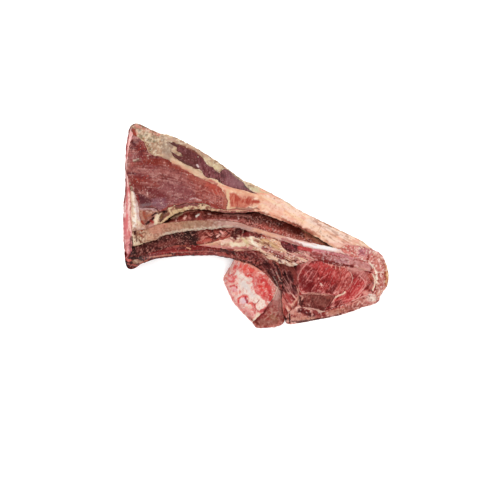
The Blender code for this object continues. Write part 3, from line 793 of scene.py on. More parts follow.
@painter
def paint_belly_end(coat):
    """Sawn belly end: salmon trim with upright streaks, rose in the middle, grey at the rib, painted
    highlight at the edge.
    """
    coat.ground(0.6 * coat.fibres(92, 16, 3) + 0.5 * coat.noise(6),
                ["BC6A66", "D48A86", "E2A29E", "F4CCC8"], 0.8)
    coat.lay(0.7 * step(coat.y, 60, 100), "F2C8C2")
    coat.marks(
        ((-215, 132, -214, 116), 5, "B85050", 0.7), ((-215, 112, -213, 84, -214, 64), 3, "CC7874", 0.6),
        ((-211, 50, -210, 24, -211, -4), 4, "F8DCD6", 0.7, 0.3))
    # palest along the outermost edge: a painted highlight
    coat.lay(0.8 * step(-coat.x, 214, 218) * step(coat.y, -40, 0), "FBE6E2")
    coat.marks(
        ((-213, 60, -214, 30), 3.4, "D07074", 0.65, 0, 1.1),
        ((-213, 18, -214, -3), 4.6, "E07A7E", 0.75, 0, 1.1), ((-215, -6, -216, -20), 4, "DC8A8E", 0.6),
        ((-213, 110, -213, 88, -212, 68), 5, "F6CEC8", 0.8), ((-219, 62, -219, 40), 3, "CC7876", 0.7),
        ((-218, 12, -218, -12), 5, "CC6E74", 0.8))
    coat.lay(0.5 * step(-coat.y, 14, 26), "ECBCBC")
    coat.marks(
        ((-210, 52, -208, 20, -208, -6), 3, "F6D8CC", 0.8, 0.6),
        ((-206, -18, -207, -30, -207, -47), 5, "46282C", 0.85, -0.6, 1.3),
        ((-209, -36, -208, -46), 4, "96646A", 0.6, 0, 1.3))
    coat.specks(2.2, 0.2, "B86068", 0.5, -0.3)
    coat.mark((-218, -47, -208, -51), 8, "7A1818", 0.95, -0.6, wet=0.4)


@painter
def paint_fat_cover(coat):
    """Smooth peach fat on the cut; on the skin side, dried fat from speckled beige to yellow cream."""
    x, y = coat.x, coat.y
    coat.ground(0.5 * coat.noise(16) + 0.25 * coat.fibres(-27, 26, 3.5) + 0.35 * coat.noise(4),
                ["E6AC90", "F1BE9F", "F8CBAE", "FDDCC4"], 0.5)
    coat.lay(0.45 * step(x, -20, -80), "E0B08E")
    coat.marks(
        ((25, 38, 55, 22, 90, 4), 22, "FCD0BC", 0.6, 0, 0.7, 1.5),
        ((18, 50, 48, 32, 90, 8, 130, -10, 176, -33), 10, "FDE0CC", 0.6, 0, 0.7, 1.4),
        ((-44, 60, 0, 50, 30, 40), 6, "F2BC94", 0.4, 0, 0.7, 1.4),
        ((50, 22, 100, -4), 7, "F8D2A4", 0.5, 0, 0.7, 1.4))
    coat.specks(2.2, 0.05, "C88A68", 0.5)
    coat.lay(0.5 * step(coat.fibres(-28, 14, 4), 0.54, 0.68), "FBE0BC")
    coat.lay(0.5 * step(coat.fibres(-30, 12, 3.5), 0.56, 0.7), "EFA58A")
    coat.lay(0.4 * step(coat.noise(3), 0.58, 0.72), "E2A480", -0.2)

    # second muscle that shows through at the flank's tail, and the pale seam beside it
    coat.patch((-43, 53, -35, 55, -28, 50, -22, 46, -16, 45, -12, 48, -7, 46, -5, 42, -1, 40, 5, 42, 6, 38,
               0, 35, -7, 36, -12, 33, -17, 29, -43, 29), "CE7A60", 0.9, -0.4, 0.3, 4, 3)
    coat.patch((-42, 53, -35, 55, -28, 49, -25, 40, -33, 38, -43, 37), "C05C44", 0.8, -0.3, 0.2, 5, 3, 3)
    coat.patch((-20, 44, -12, 48, -7, 45, -6, 41, -13, 36, -22, 39), "B8523C", 0.8, -0.3, 0.2, 5, 3, 3)
    coat.specks(3, 0.3, "B04E3C", 0.6, -0.2, within=step(x, -44, -38) * step(-x, -4, 4) * step(y, 30, 35)
                * step(-y, -52, -46))
    second = step(x, -45, -40) * step(-x, -2, 6) * step(y, 30, 34) * step(-y, -54, -50)
    coat.lay(0.5 * second * step(coat.fibres(80, 9, 1.6), 0.52, 0.66), "E8A68A", 0.2)
    coat.marks(
        ((-3, 41, 4, 40), 5, "B85240", 0.85), ((-84, 78, -72, 74, -64, 69), 4, "AE443A", 0.7, 0, 1.2),
        ((-36, 50, -36, 32), 2, "E0947A", 0.6), ((-30, 44, -29, 31), 1.6, "B85442", 0.5),
        ((-46, 58, -45, 40, -45, 25), 4.5, "E8C49E", 0.9, 0.3), ((-40, 30, -18, 28), 3, "E6BE96", 0.7),
        ((-12, 30, -4, 28, 1, 30, 6, 27), 2.2, "6A4434", 0.6, -0.5, 1.6),
        ((-7, 29, 3, 33), 3, "F4DCC2", 0.6))

    # torn edge over the crease
    coat.marks(
        ((30, 17, 58, 5), 2, "C07A58", 0.7), ((54, 5, 65, 0, 78, -7), 5, "A85036", 0.85, -0.6, 1.1),
        ((82, -8, 94, -14), 5, "A85A40", 0.85, -0.3, 1.1), ((44, 11, 54, 7), 4, "BC7860", 0.8, -0.2, 1.1),
        ((88, 8, 120, -4, 150, -20), 8, "FDE2D0", 0.7, 0, 0.7, 1.4),
        ((144, -28, 156, -31), 5, "F4C0B2", 0.8), ((-51, 58, -50, 50), 4, "C87C64", 0.7, 0, 1.1),
        ((-134, 128, -124, 123), 6, "75443A", 0.8, -0.2, 1.2),
        ((-136, 101, -124, 97), 4, "A85A48", 0.7, -0.2, 1.2),
        ((5, 22, 12, 21, 22, 18), 4, "A05C46", 0.8, -0.4, 1.2),
        ((124, -24, 140, -29), 9, "FDDCCB", 0.8, 0, 0.7, 1.4), ((136, -37, 146, -36), 3, "C4786C", 0.7),
        ((84, 2, 104, -9, 122, -19, 138, -32), 8, "FEDAC2", 0.8, 0, 1.2, 1.4),
        ((84, -5, 92, -9, 104, -17), 4, "CC846A", 0.7, 0, 1.2),
        ((-30, 29, -14, 27, -4, 27), 5, "A86A58", 0.7, -0.2, 1.1))
    coat.lay(0.6 * step(x, 84, 100) * step(coat.fibres(-32, 8, 1.6), 0.6, 0.7), "B47A5C", -0.5)
    coat.specks(3, 0.4, "7A3420", 0.8, -0.4, within=step(-seam_distance(x, y, ["crease_cover"]), -6, -3)
                * step(x, 52, 66) * step(-x, -92, -80))
    for spot in [(107, -9), (31, 45), (118, -16)]:
        coat.mark([spot], 2.6, "96705A", 0.5, -0.2)
    coat.marks(
        ((108, 2, 104, -8, 96, -13), 1.6, "D8A48A", 0.6),
        ((130, -30, 160, -32, 188, -40), 4, "F2BCA8", 0.7), ((150, -22, 172, -30), 3, "E8B49C", 0.6))

    # skin side
    down = skin_share(x, y)
    skin = step(down, 0.03, 0.2)
    skin = np.maximum(skin, step(x, -146, -158) * step(y, 112, 118))
    dried = 0.45 * coat.noise(9) + 0.55 * coat.noise(3)
    rank = even(dried)
    left = step(x, -150, -162)[:, None]
    colour = (ramp(rank, ["96795C", "B89474", "C8A684", "DEC4A0"]) * (1 - left)
              + ramp(rank, ["8C745A", "BA9878", "CCAC8A", "E2CCAE"]) * left)
    coat.tint += (colour - coat.tint) * skin[:, None]
    coat.rise += 0.5 * skin * (rank - 0.5)
    coat.wet -= 0.25 * skin
    coat.patch((-158, 150, -136, 146, -136, 122, -150, 116, -156, 126), "BEA68E", 0.6, soft=9, rough=5)
    coat.patch((-176, 140, -158, 136, -154, 118, -170, 117), "C2A083", 0.6, soft=6, rough=3)
    coat.patch((-92, 116, -60, 100, -62, 93, -74, 100, -82, 108), "DCCAA0", 0.8, soft=4, rough=3)
    coat.patch((-14, 66, 10, 61, 6, 54, -8, 60), "D0C29E", 0.7, soft=4, rough=3)
    coat.marks(
        ((-8, 62, 4, 57, 22, 54), 2, "CFC49A", 0.6),
        ((-150, 148, -118, 136, -80, 115), 4, "C8A088", 0.7, 0, 0.7, 1.2),
        ((-126, 135, -108, 128, -94, 119), 3, "B87850", 0.7),
        ((12, 60, 45, 43, 66, 30), 1.8, "B09882", 0.6, 0, 1.2),
        ((66, 30, 90, 17, 130, -4, 168, -20), 1.6, "CDAC90", 0.5, 0, 1.2),
        ((104, 2, 120, -4, 136, -12), 2, "B88A6C", 0.5, 0, 1.3),
        ((-204, 168, -192, 167, -178, 161, -162, 154), 7, "CE8670", 0.85, 0.3, 0.7, 1))
    coat.specks(5.0, 0.24, "8A7C5A", 0.6, -0.4, within=skin * step(x, -156, -168) * step(y, 133, 141))
    coat.specks(2.4, 0.12, "A8603F", 0.5, within=skin * step(x, -150, -165))
    coat.specks(2.6, 0.2, "EEDCC2", 0.5, 0.3, within=skin)
    for spot in [(-181, 151), (-170, 148), (-178, 142), (-168, 140), (-190, 148), (-192, 158)]:
        coat.mark([spot], 3.8, "74674C", 0.6, -0.4, soft=1.2)
    coat.marks(
        ((-183, 165), 2.6, "5A4A3C", 0.8),
        ((-199, 148, -186, 141, -181, 130, -176, 119, -170, 115), 2.2, "F0D0A8", 0.9, 0.4),
        ((-184, 141, -178, 128, -174, 119), 1.2, "A8583C", 0.6),
        ((-168, 115, -147, 114, -130, 104, -113, 95, -95, 86, -79, 77), 4.5, "D8B494", 0.7, 0.3),
        ((-150, 116, -131, 107, -113, 98, -90, 86), 2.5, "E6CCAC", 0.5, 0, 1.3))
    beside = step(x, -150, -140) * step(-x, 55, 70) * step(down, 0.02, 0.1)
    coat.lay(0.6 * beside * step(coat.noise(3.4), 0.54, 0.66), "C4A486", -0.3)
    coat.mark((-202, 158, -200, 150), 7, "A4402C", 0.95, -0.9, wet=0.3)
    coat.patch((-154, 128, -143, 128, -138, 118, -140, 108, -152, 112), "A08874", 0.6, soft=6, rough=3)
    coat.marks(
        ((-146, 138, -140, 132), 5, "8E7060", 0.6), ((-197, 160, -196, 152), 2.2, "E8B89C", 0.8, 0.4))


@painter
def paint_skin_muscle(coat):
    """Thin torn sheet of dried muscle: plum with fine upright strands, browner left, dark at its rim."""
    x = coat.x
    coat.ground(0.4 * coat.fibres(97, 10, 1.1) + 0.25 * coat.noise(4) + 0.35 * coat.noise(10),
                ["562026", "703438", "824648", "986668"], 0.5)
    coat.lay(0.6 * step(-x, 84, 100), "5E2422")
    coat.lay(0.5 * step(x, -60, -40), "84525A")
    coat.marks(
        ((-120, 116, -100, 108), 9, "5E2A24", 0.6), ((-136, 117, -115, 104, -100, 98), 4, "5C4038", 0.5),
        ((-146, 139, -130, 134), 4, "5A3C36", 0.6),
        ((-126, 135, -108, 127, -94, 119, -86, 110), 3, "7A4028", 0.8),
        ((-18, 66, -8, 59, 2, 54), 4, "4C3C34", 0.85), ((-100, 114), 3, "8A3A3C", 0.6, 0, 0.7, 0.8, 0.5),
        ((-92, 112, -84, 100, -72, 92), 8, "6E3038", 0.5))
    coat.specks(1.5, 0.05, "BE9490", 0.5, 0.2, 0.3)
    coat.mark((-97, 101, -95, 98), 3.2, "E6CCC6", 0.85, 0.4)
    coat.lay(0.5 * step(-coat.edge, -1.6, -0.4), "6A4A40", -0.2)


@painter
def paint_flank_muscle(coat):
    """Large flank muscle: fibres bend from level at the left to steep at the right; painted mauve sheen,
    painted glints.
    """
    x, y = coat.x, coat.y
    bend = 0.0016 * np.maximum(x + 200, 0) ** 2
    flow = coat.fibres(0, 17, 1.5, 2, bend)
    coat.ground(0.34 * coat.noise(15) + 0.3 * flow + 0.36 * coat.noise(3.2),
                ["6C2C2C", "88433F", "965350", "A4655F", "BC827C"], 0.8)
    coat.wet += 0.3
    # mauve in the middle: the membrane's own tone with its sheen painted in
    purple = step(x, -178, -150) * step(-x, 84, 112) * step(y, 26, 40) * step(-y, -86, -66)
    coat.lay(0.45 * purple, "8C5054")
    coat.lay(0.55 * step(x + 0.5 * y, -100, -52), "A64E46")
    coat.marks(
        ((-78, 70, -60, 58), 15, "B84E40", 0.75, 0, 0.7, 1.4),
        ((-108, 84, -88, 74), 13, "A04A3C", 0.5, 0, 0.7, 1.4))

    # top corner
    coat.marks(
        ((-207, 146, -198, 147, -190, 142), 7, "C88A86", 0.6, 0.3, 0.7, 1.4),
        ((-176, 98, -162, 95), 8, "8A3436", 0.6, 0, 0.7, 1.3), ((-200, 136), 7, "56282E", 0.85, -0.6),
        ((-206, 128, -200, 132), 3, "6E3438", 0.6),
        ((-192, 132, -186, 116), 13, "842A26", 0.75, -0.4, 0.7, 1.2))
    coat.specks(2.6, 0.3, "4E2028", 0.6, -0.4, within=step(y, 108, 116))
    coat.marks(
        ((-200, 141, -195, 136), 5, "B07C78", 0.5), ((-208, 122, -204, 100), 6, "B4605C", 0.6),
        ((-202, 108, -198, 109, -194, 111), 2.8, "E6CAB8", 0.85, 0.5),
        ((-201, 105, -196, 107, -190, 110), 2.2, "8A6A54", 0.8, -0.5),
        ((-178, 116), 2.4, "DCBCA8", 0.7, 0.3),
        ((-204, 114, -186, 106, -168, 97), 14, "78303A", 0.4, 0, 0.7, 1.5),
        ((-192, 84, -176, 75), 12, "702C3A", 0.4, 0, 0.7, 1.5))

    # brown red below the fat, then the mauve band
    coat.marks(
        ((-182, 106, -166, 104, -150, 106, -132, 98), 10, "842C20", 0.75, -0.3, 0.7, 1.3),
        ((-166, 109, -150, 110, -136, 104), 4, "7A241A", 0.7), ((-130, 97, -108, 86), 5, "94382C", 0.6),
        # the pale wet spot at (-151, 104) is a painted glint
        ((-205, 102, -188, 103), 5, "903830", 0.6), ((-151, 104), 3.4, "C88078", 0.8, 0.4, 0.7, 0.8, 0.4),
        ((-138, 103), 2.4, "C07870", 0.7),
        ((-206, 91, -170, 92, -138, 88, -116, 80), 10, "A6625E", 0.5, 0.2, 0.7, 1.5),
        ((-196, 92, -160, 93), 1.6, "B47C78", 0.4), ((-192, 96, -150, 96), 1.6, "7C3430", 0.5),
        ((-211, 87, -198, 86), 3.4, "622830", 0.9, -0.5), ((-210, 80, -196, 82), 3, "8A3C3C", 0.6))

    # dark left half
    coat.marks(
        ((-202, 74, -180, 76, -168, 70), 12, "822820", 0.7, -0.3, 0.7, 1.3),
        ((-206, 67, -196, 66, -186, 63), 6, "7A2A28", 0.7),
        ((-178, 56, -164, 54, -150, 48), 13, "6A2028", 0.75, -0.4, 0.7, 1.3))
    coat.patch((-196, 55, -180, 48, -172, 40, -177, 33, -190, 34, -196, 44), "56242E", 0.85, -0.8, 0.1, 5,
               3)
    coat.marks(
        ((-196, 50, -193, 40), 3, "8A2A2C", 0.7),
        ((-190, 33, -178, 35, -166, 38), 5, "8A6C70", 0.7, 0, 1.1, 1.3))
    coat.patch((-172, 44, -150, 46, -146, 34, -156, 26, -170, 32), "8A5C68", 0.65, 0, 0.2, 6, 3)
    coat.marks(
        ((-150, 60, -128, 62, -108, 52), 12, "8C484C", 0.5, 0, 0.7, 1.5),
        ((-137, 66, -134, 56, -138, 48), 3, "742E34", 0.5),
        ((-148, 40, -125, 42, -104, 44), 5, "864048", 0.5))

    # right end
    coat.marks(
        ((-84, 41, -70, 35, -58, 31), 6, "86302A", 0.7, -0.4, 0.7, 1.2),
        ((-100, 38, -84, 37, -70, 33), 3, "7C2A26", 0.7))
    for line in [[(-66, 60), (-59, 48), (-60, 34)], [(-60, 58), (-54, 46), (-55, 32)],
                 [(-72, 60), (-66, 48), (-67, 38)]]:
        coat.mark(line, 1.4, "CC8478", 0.6, 0.2)
    coat.marks(
        ((-55, 58, -50, 44, -51, 30), 4, "B86A58", 0.6), ((-100, 56, -84, 60, -74, 54), 1.5, "C88478", 0.5))

    # fat rim and the red line above the fringe
    coat.marks(
        ((-156, 25, -137, 34, -106, 39, -79, 38, -62, 29), 1.8, "98382E", 0.8, -0.3),
        # pale wet streak above the fringe: painted glints
        ((-108, 44, -101, 46, -95, 43, -90, 42), 1.8, "DCB0AA", 0.7, 0.3, 1.2, 0.8, 0.5),
        ((-75, 40, -70, 37), 1.6, "D89C94", 0.7))
    # pale wet spots: painted glints; the red spots in the next loop are real flecks
    for fleck_and_glint in [(-156, 37), (-179, 55), (-178, 52), (-202, 61), (-113, 85)]:
        coat.mark([fleck_and_glint], 2.2, "DCAEA4", 0.7, 0.3, wet=0.6, rough=1.4)
    for fleck_and_glint in [(-187, 75), (-193, 72), (-184, 80), (-178, 83), (-195, 77)]:
        coat.mark([fleck_and_glint], 1.9, "C8584A", 0.6, 0.2, rough=1.4)
    for spot in [(-205, 64), (-205, 60), (-209, 70)]:
        coat.mark([spot], 4, "A48C78", 0.8)
    # fine pale specks with moisture: painted glints
    coat.specks(1.6, 0.045, "D4A49C", 0.6, 0.3, 0.4)
    coat.specks(2.4, 0.1, "5C2228", 0.5, -0.3)


@painter
def paint_corner_fat(coat):
    """Upright cream fat, mauve down its right side."""
    coat.ground(0.6 * coat.fibres(95, 20, 3) + 0.4 * coat.noise(5),
                ["DCBEA2", "EED2B8", "F5DEC8", "FCEBDA"], 0.5)
    coat.marks(
        ((-207, 56, -206, 20, -205, -6), 2.2, "E8B49A", 0.7),
        ((-199, 58, -197, 40, -195, 20, -191, 8), 5, "C49C96", 0.6, -0.2, 0.7, 1.3),
        ((-193, 6, -186, -1), 5, "E4C8A4", 0.8), ((-189, 6, -186, 1), 4, "A86E50", 0.7, -0.4),
        ((-199, -4, -196, -8), 3, "8A6A50", 0.6))
    coat.specks(2.5, 0.14, "C89C7C", 0.6, -0.2)
    coat.lay(0.75 * step(0.5 * coat.x - coat.y, -101, -91), "CCA48C", -0.2)
    coat.lay(0.6 * step(-coat.y, -8, 6) * step(coat.noise(3), 0.48, 0.62), "A87C5C", -0.3)
    coat.mark((-209, 56, -208, 30, -207, 4), 1.8, "DC9C90", 0.6)


@painter
def paint_fringe_fat(coat):
    """Torn fringe: brown frayed tissue, a cream blob, an olive pocket, then ragged yellow cream fat."""
    x, y = coat.x, coat.y
    coat.ground(0.5 * coat.noise(5) + 0.5 * coat.noise(2.4), ["8A6444", "C2A07C", "D6BA90", "ECD8B2"], 1.2)
    frayed = step(-coat.x, 158, 166)
    coat.lay(0.8 * frayed, "B89074")
    coat.lay(0.5 * frayed * step(coat.fibres(60, 9, 1.6), 0.5, 0.62), "8A5A42", -0.6)
    coat.marks(
        ((-190, 30, -178, 29, -164, 27), 6, "CCB2A8", 0.8), ((-189, 24, -186, 12), 5, "C4A080", 0.7),
        ((-185, 22, -182, 13), 5, "A8603A", 0.8, -0.4),
        ((-189, 8, -186, 3), 4.5, "A4502E", 0.85, -0.5, 0.7, 0.8, 0.2),
        ((-181, 3, -175, 8, -169, 13), 3.6, "34140A", 0.95, -1.6, 0.7, 0.8, 0.2),
        ((-173, 9, -170, 6), 4, "A83C2C", 0.85, -0.3, 0.7, 0.8, 0.3),
        ((-180, 16, -172, 19), 4, "B07850", 0.7), ((-180, 24, -172, 22), 2.4, "D8C0A4", 0.7, 0.3),
        ((-175, -1, -166, 2), 5, "D2A892", 0.8), ((-171, 17, -165, 21, -160, 20), 2.6, "2E160C", 0.9, -1.2),
        ((-165, 4, -164, 11, -162, 17), 6.5, "EEDDBC", 0.95, 1),
        ((-156, 10, -153, 17, -149, 23), 7.5, "5A4220", 0.9, -1.8),
        ((-157, 13, -155, 18), 3, "8A7038", 0.8),
        ((-152, 25, -148, 21), 5, "3A1810", 0.9, -1.4, 0.7, 0.8, 0.3),
        ((-159, 22, -155, 25), 3, "4A2A1C", 0.8, -0.8),
        ((-157, 4, -149, 11, -142, 17), 2.6, "ECD6A8", 0.95, 0.6),
        ((-146, 17, -136, 22, -120, 27), 9, "DCC898", 0.75, 0.4, 0.7, 1.2),
        ((-145, 30, -140, 24), 3, "E8D8B0", 0.7, 0.4), ((-131, 29, -121, 30), 3.2, "74602E", 0.85, -0.5),
        ((-126, 31, -120, 30), 1.6, "A03A28", 0.6), ((-141, 27, -137, 20), 1.8, "9A7C4C", 0.6, -0.4),
        ((-128, 24, -119, 26), 2, "A08450", 0.5, -0.3),
        ((-114, 31, -96, 34, -86, 32), 3, "E6CFA6", 0.8, 0.4),
        ((-97, 36, -90, 39, -84, 36), 5, "DCC29C", 0.7, 0.3), ((-88, 34), 3.4, "4A3020", 0.9, -1),
        ((-82, 31), 2, "6A4A34", 0.7, -0.4), ((-70, 27, -48, 25, -30, 26, -5, 26), 3, "E2BC98", 0.7, 0.2),
        ((-130, 33, -114, 35, -98, 36), 6, "7E4A40", 0.85, -0.6, 1.2),
        ((-150, 16, -143, 20), 5, "7A4C30", 0.85, -0.4, 1.1), ((-12, 28, -4, 27), 3, "A8745E", 0.8),
        ((-60, 24, -44, 22, -20, 22, -6, 22), 3.4, "8A4E44", 0.75, -0.2, 1.2))
    coat.lay(0.8 * step(x, -50, -40) * step(-seam_distance(x, y, ["fringe_cover"]), -3, -1), "D08C78")
    coat.specks(2.4, 0.1, "8A6A48", 0.7, -0.5)


@painter
def paint_crease_meat(coat):
    """Dark torn crease meat: black painted shadow under the fat, pink nodules, painted wet glints at the
    left.
    """
    x, y = coat.x, coat.y
    deep = seam_distance(x, y, ["fringe_crease", "crease_cover"])
    coat.ground(0.35 * coat.noise(7) + 0.65 * coat.noise(2.3),
                ["4A1E1A", "682F2A", "7E413B", "9E6058"], 1.4)
    coat.wet += 0.4
    coat.lay(0.35 * step(coat.fibres(78, 7, 1.0), 0.52, 0.66) * step(x, -30, 0), "A87068", 0.4)
    # near-black along the top edge and in the upright strokes at the left: painted shadow under the
    # overhanging fat
    coat.lay(0.9 * step(-deep, -3.4, -0.8) * step(-x, -96, -72), "220A09", -0.6)
    coat.marks(
        ((-20, 18, 0, 14, 22, 8, 38, 1), 15, "1C0808", 0.8, -1.2, 0.7, 1.5),
        ((36, 3, 60, -7, 82, -17), 6, "220A09", 0.8, -0.8, 0.7, 1.3),
        ((-100, 25, -102, 16, -106, 9), 7, "2C0E0E", 0.75, -0.9, 0.7, 1.2),
        ((-82, 24, -84, 12), 5, "340F0F", 0.7, -0.7, 0.7, 1.2),
        ((-72, 22, -56, 20), 5, "34100F", 0.7, -0.6), ((-130, 11, -118, 18, -110, 21), 5, "6A1A18", 0.8),
        ((-146, 8, -130, 10), 4, "4A1A18", 0.8), ((-94, 12, -92, 22), 6, "7A2A2A", 0.7),
        ((-60, 14, -38, 14, -20, 9), 7, "8A4644", 0.5, 0.4),
        ((-80, 10, -50, 10, -30, 9), 1.8, "C08A84", 0.6, 0.3),
        ((8, -1, 30, -7, 56, -17), 8, "8C3C34", 0.6, 0.3), ((18, -2, 34, -9), 3, "A85048", 0.6),
        ((60, -16, 90, -27, 115, -34), 5, "7A3A30", 0.6))
    for nodule in [(-135, 12), (-130, 14), (-132, 9)]:
        coat.mark([nodule], 3.6, "B07C74", 0.85, 0.6, wet=0.4)
    # the first three pale wet spots are painted glints; the last is a pale strand of fascia
    coat.marks(
        ((-118, 13, -116, 16), 4.4, "E29A8E", 0.95, 1, 0.7, 0.8, 0.5),
        ((-98, 16, -94, 19), 3.6, "EACABE", 0.95, 0.8, 0.7, 0.8, 0.3),
        ((-78, 20, -75, 19), 3, "C8908A", 0.8, 0.6, 0.7, 0.8, 0.5),
        ((-29, 17, -28, 12), 2.4, "E0A49C", 0.85, 0.6, 0.7, 0.8, 0.5))
    for strand in [[(10, 11), (8, 4)], [(3, 12), (4, 5)], [(-8, 15), (-5, 9)], [(26, 5), (22, -2)]]:
        coat.mark(strand, 1.3, "B08880", 0.5, 0.4, wet=0.4, rough=1.2)
    coat.specks(1.7, 0.12, "BE7068", 0.6, 0.4, 0.5, within=step(deep, 3, 6))
    coat.specks(2.4, 0.2, "3A1412", 0.6, -0.5)
    coat.lay(0.4 * step(x, 50, 84), "5A2A22")
    # lighter tan at the top edge towards the right: painted light, against the shade under the fat
    coat.lay(0.85 * step(x, 70, 92) * step(-deep, -3.4, -1.2), "D09A74", 0.3)
    coat.specks(1.6, 0.14, "CC9890", 0.6, 0.4, 0.5, within=step(x, -40, 0) * step(deep, 4, 7))
    # the dark marks below the top edge from x = -6 to 70 widen the painted shadow under the fat
    coat.marks(
        ((-50, 19, -28, 18, -10, 17), 5, "925E58", 0.7, 4, 1.1), ((-6, 10, 14, 5), 6, "3A1C18", 0.5, -0.3),
        ((44, -2, 56, -8, 68, -13), 8, "451812", 0.7, -0.3, 0.7, 1.3),
        ((96, -20, 112, -28), 4, "B8705A", 0.7, 2, 1.1),
        ((-139, 14, -130, 18, -122, 21), 4.5, "B8947A", 0.8, 4, 1.2),
        ((-118, 23, -108, 25, -98, 27), 4, "A4685A", 0.75, 3, 1.2),
        ((14, 4, 30, -1, 48, -6), 6, "5A2420", 0.6, -0.3, 0.7, 1.3),
        ((52, 3, 62, -1, 70, -6), 6, "54201A", 0.8, -0.4, 0.7, 1.2),
        ((-104, 12, -84, 14, -62, 13), 6, "4A1A1A", 0.5, -0.3, 0.7, 1.4),
        ((84, -16, 96, -21, 112, -29, 124, -35), 8, "AC6250", 0.6, 2.5, 1.3))
    coat.specks(2.0, 0.3, "5E2A22", 0.6, -0.4, within=step(x, 84, 96))
    coat.marks(
        # near-black under the fat's edge: painted shadow
        ((50, 2, 60, -3, 72, -9), 8, "3C120E", 0.85, -0.4, 1.1),
        ((98, -20, 106, -24, 114, -29), 6, "BC7862", 0.6, 1, 1.2))


@painter
def paint_pale_band(coat):
    """Long pale strip: porous and frayed at the left, grey tan, then pinkish and almost white."""
    x, y = coat.x, coat.y
    away = seam_distance(x, y, ["band_meat", "band_pad", "band_cap"])
    mottled = 0.5 * coat.noise(6) + 0.3 * coat.noise(2.4) + 0.25 * coat.fibres(-8, 18, 2)
    coat.ground(mottled, [(0, "808080"), (1, "808080")], 0.6)
    rank = even(mottled)
    low = ramp(x, [(-200, "BE9E80"), (-160, "B08A74"), (-110, "AE947A"), (-60, "B49888"), (0, "CDA08A"),
                   (50, "E2B8A4"), (95, "F0D4C8"), (157, "EEC0AE")])
    high = ramp(x, [(-200, "EAD8BE"), (-160, "D6B29A"), (-110, "CDB69A"), (-60, "D4BCAE"), (0, "E8C4B0"),
                    (50, "F4D6CA"), (95, "FBEDE8"), (157, "F8DACE")])
    coat.tint = low + (high - low) * rank[:, None]
    left = step(-x, 30, 60)
    coat.lay(0.7 * left * step(x, -170, -140) * step(-away + 4 * coat.noise(5), -3.0, -0.6), "DED4C2", 0.2)
    coat.lay(0.5 * left * step(coat.noise(2.4), 0.56, 0.7), "8E6A58", -0.2)
    coat.lay(0.5 * left * step(away, 10, 15), "B89478")
    coat.lay(0.5 * left * step(coat.noise(4), 0.55, 0.7), "A87C66", -0.2)
    coat.lay(0.5 * left * step(coat.noise(5), 0.56, 0.7), "DCC4B0", 0.2)
    coat.marks(
        ((-170, -2, -158, 0, -150, 1), 8, "D0A28C", 0.7),
        ((-176, -4, -168, -10, -160, -8), 9, "D4A690", 0.6), ((-112, 3, -92, 4, -80, 1), 8, "A88C74", 0.5),
        ((-136, 0, -124, -2), 6, "C8A48C", 0.6), ((-60, 4, -30, 3, -5, -3), 4, "C8A89C", 0.6),
        ((-36, -1, -20, -4, -8, -6), 4, "BCA8A0", 0.6), ((0, -6, 18, -12, 34, -18), 4, "EAC0A4", 0.6))
    white = step(x, 40, 96) * step(-x, -142, -124) * step(away, 1, 3) * step(-away, -9, -7)
    coat.lay(0.85 * white, "FDF2EE", 0.4)
    coat.marks(
        ((140, -42, 156, -50), 3, "F6D6CA", 0.7), ((60, -21, 100, -32), 2, "E8B8A4", 0.5),
        ((44, -21, 60, -27, 76, -32), 4.5, "B8847A", 0.8, -0.2, 1.1))

    # porous left end
    frayed = step(-x, 176, 186)
    coat.lay(0.6 * frayed * step(coat.fibres(70, 6, 1.5), 0.52, 0.64), "8E6C52", -0.8)
    coat.lay(0.5 * frayed * step(coat.fibres(105, 8, 1.6), 0.54, 0.66), "F0E2CA", 0.5)
    coat.marks(
        ((-200, -6, -199, -13), 5, "54281A", 0.95, -2.2, 0.7, 0.8, 0.2),
        ((-196, -4, -192, -7), 3, "E0A89A", 0.7), ((-188, -7, -185, -6), 4.4, "9A5030", 0.85, -0.9),
        ((-186, 1, -180, 4), 4, "B86A44", 0.7, -0.6), ((-192, -14, -188, -17), 3, "A85C40", 0.75, -0.7),
        ((-203, -14, -201, -30), 2.4, "EEDDC4", 0.9, 0.5),
        ((-204, -20, -203, -33), 1.8, "54403E", 0.8, -0.8),
        ((-198, -16, -196, -26), 2, "6A5240", 0.8, -0.7),
        ((-193, -22, -190, -29), 2.2, "7A6048", 0.8, -0.7),
        ((-186, -14, -178, -18, -170, -20), 3, "D8B49A", 0.7),
        ((-200, -32, -186, -29, -170, -25), 2, "E4D0B4", 0.7))
    coat.specks(2.6, 0.22, "94705A", 0.7, -0.7, within=frayed)
    coat.specks(2.2, 0.1, "9A7A64", 0.5, -0.3, within=step(-x, 60, 90))
    coat.mark((138, -46, 146, -49, 154, -51), 5, "9A4C44", 0.6, rough=1.2)


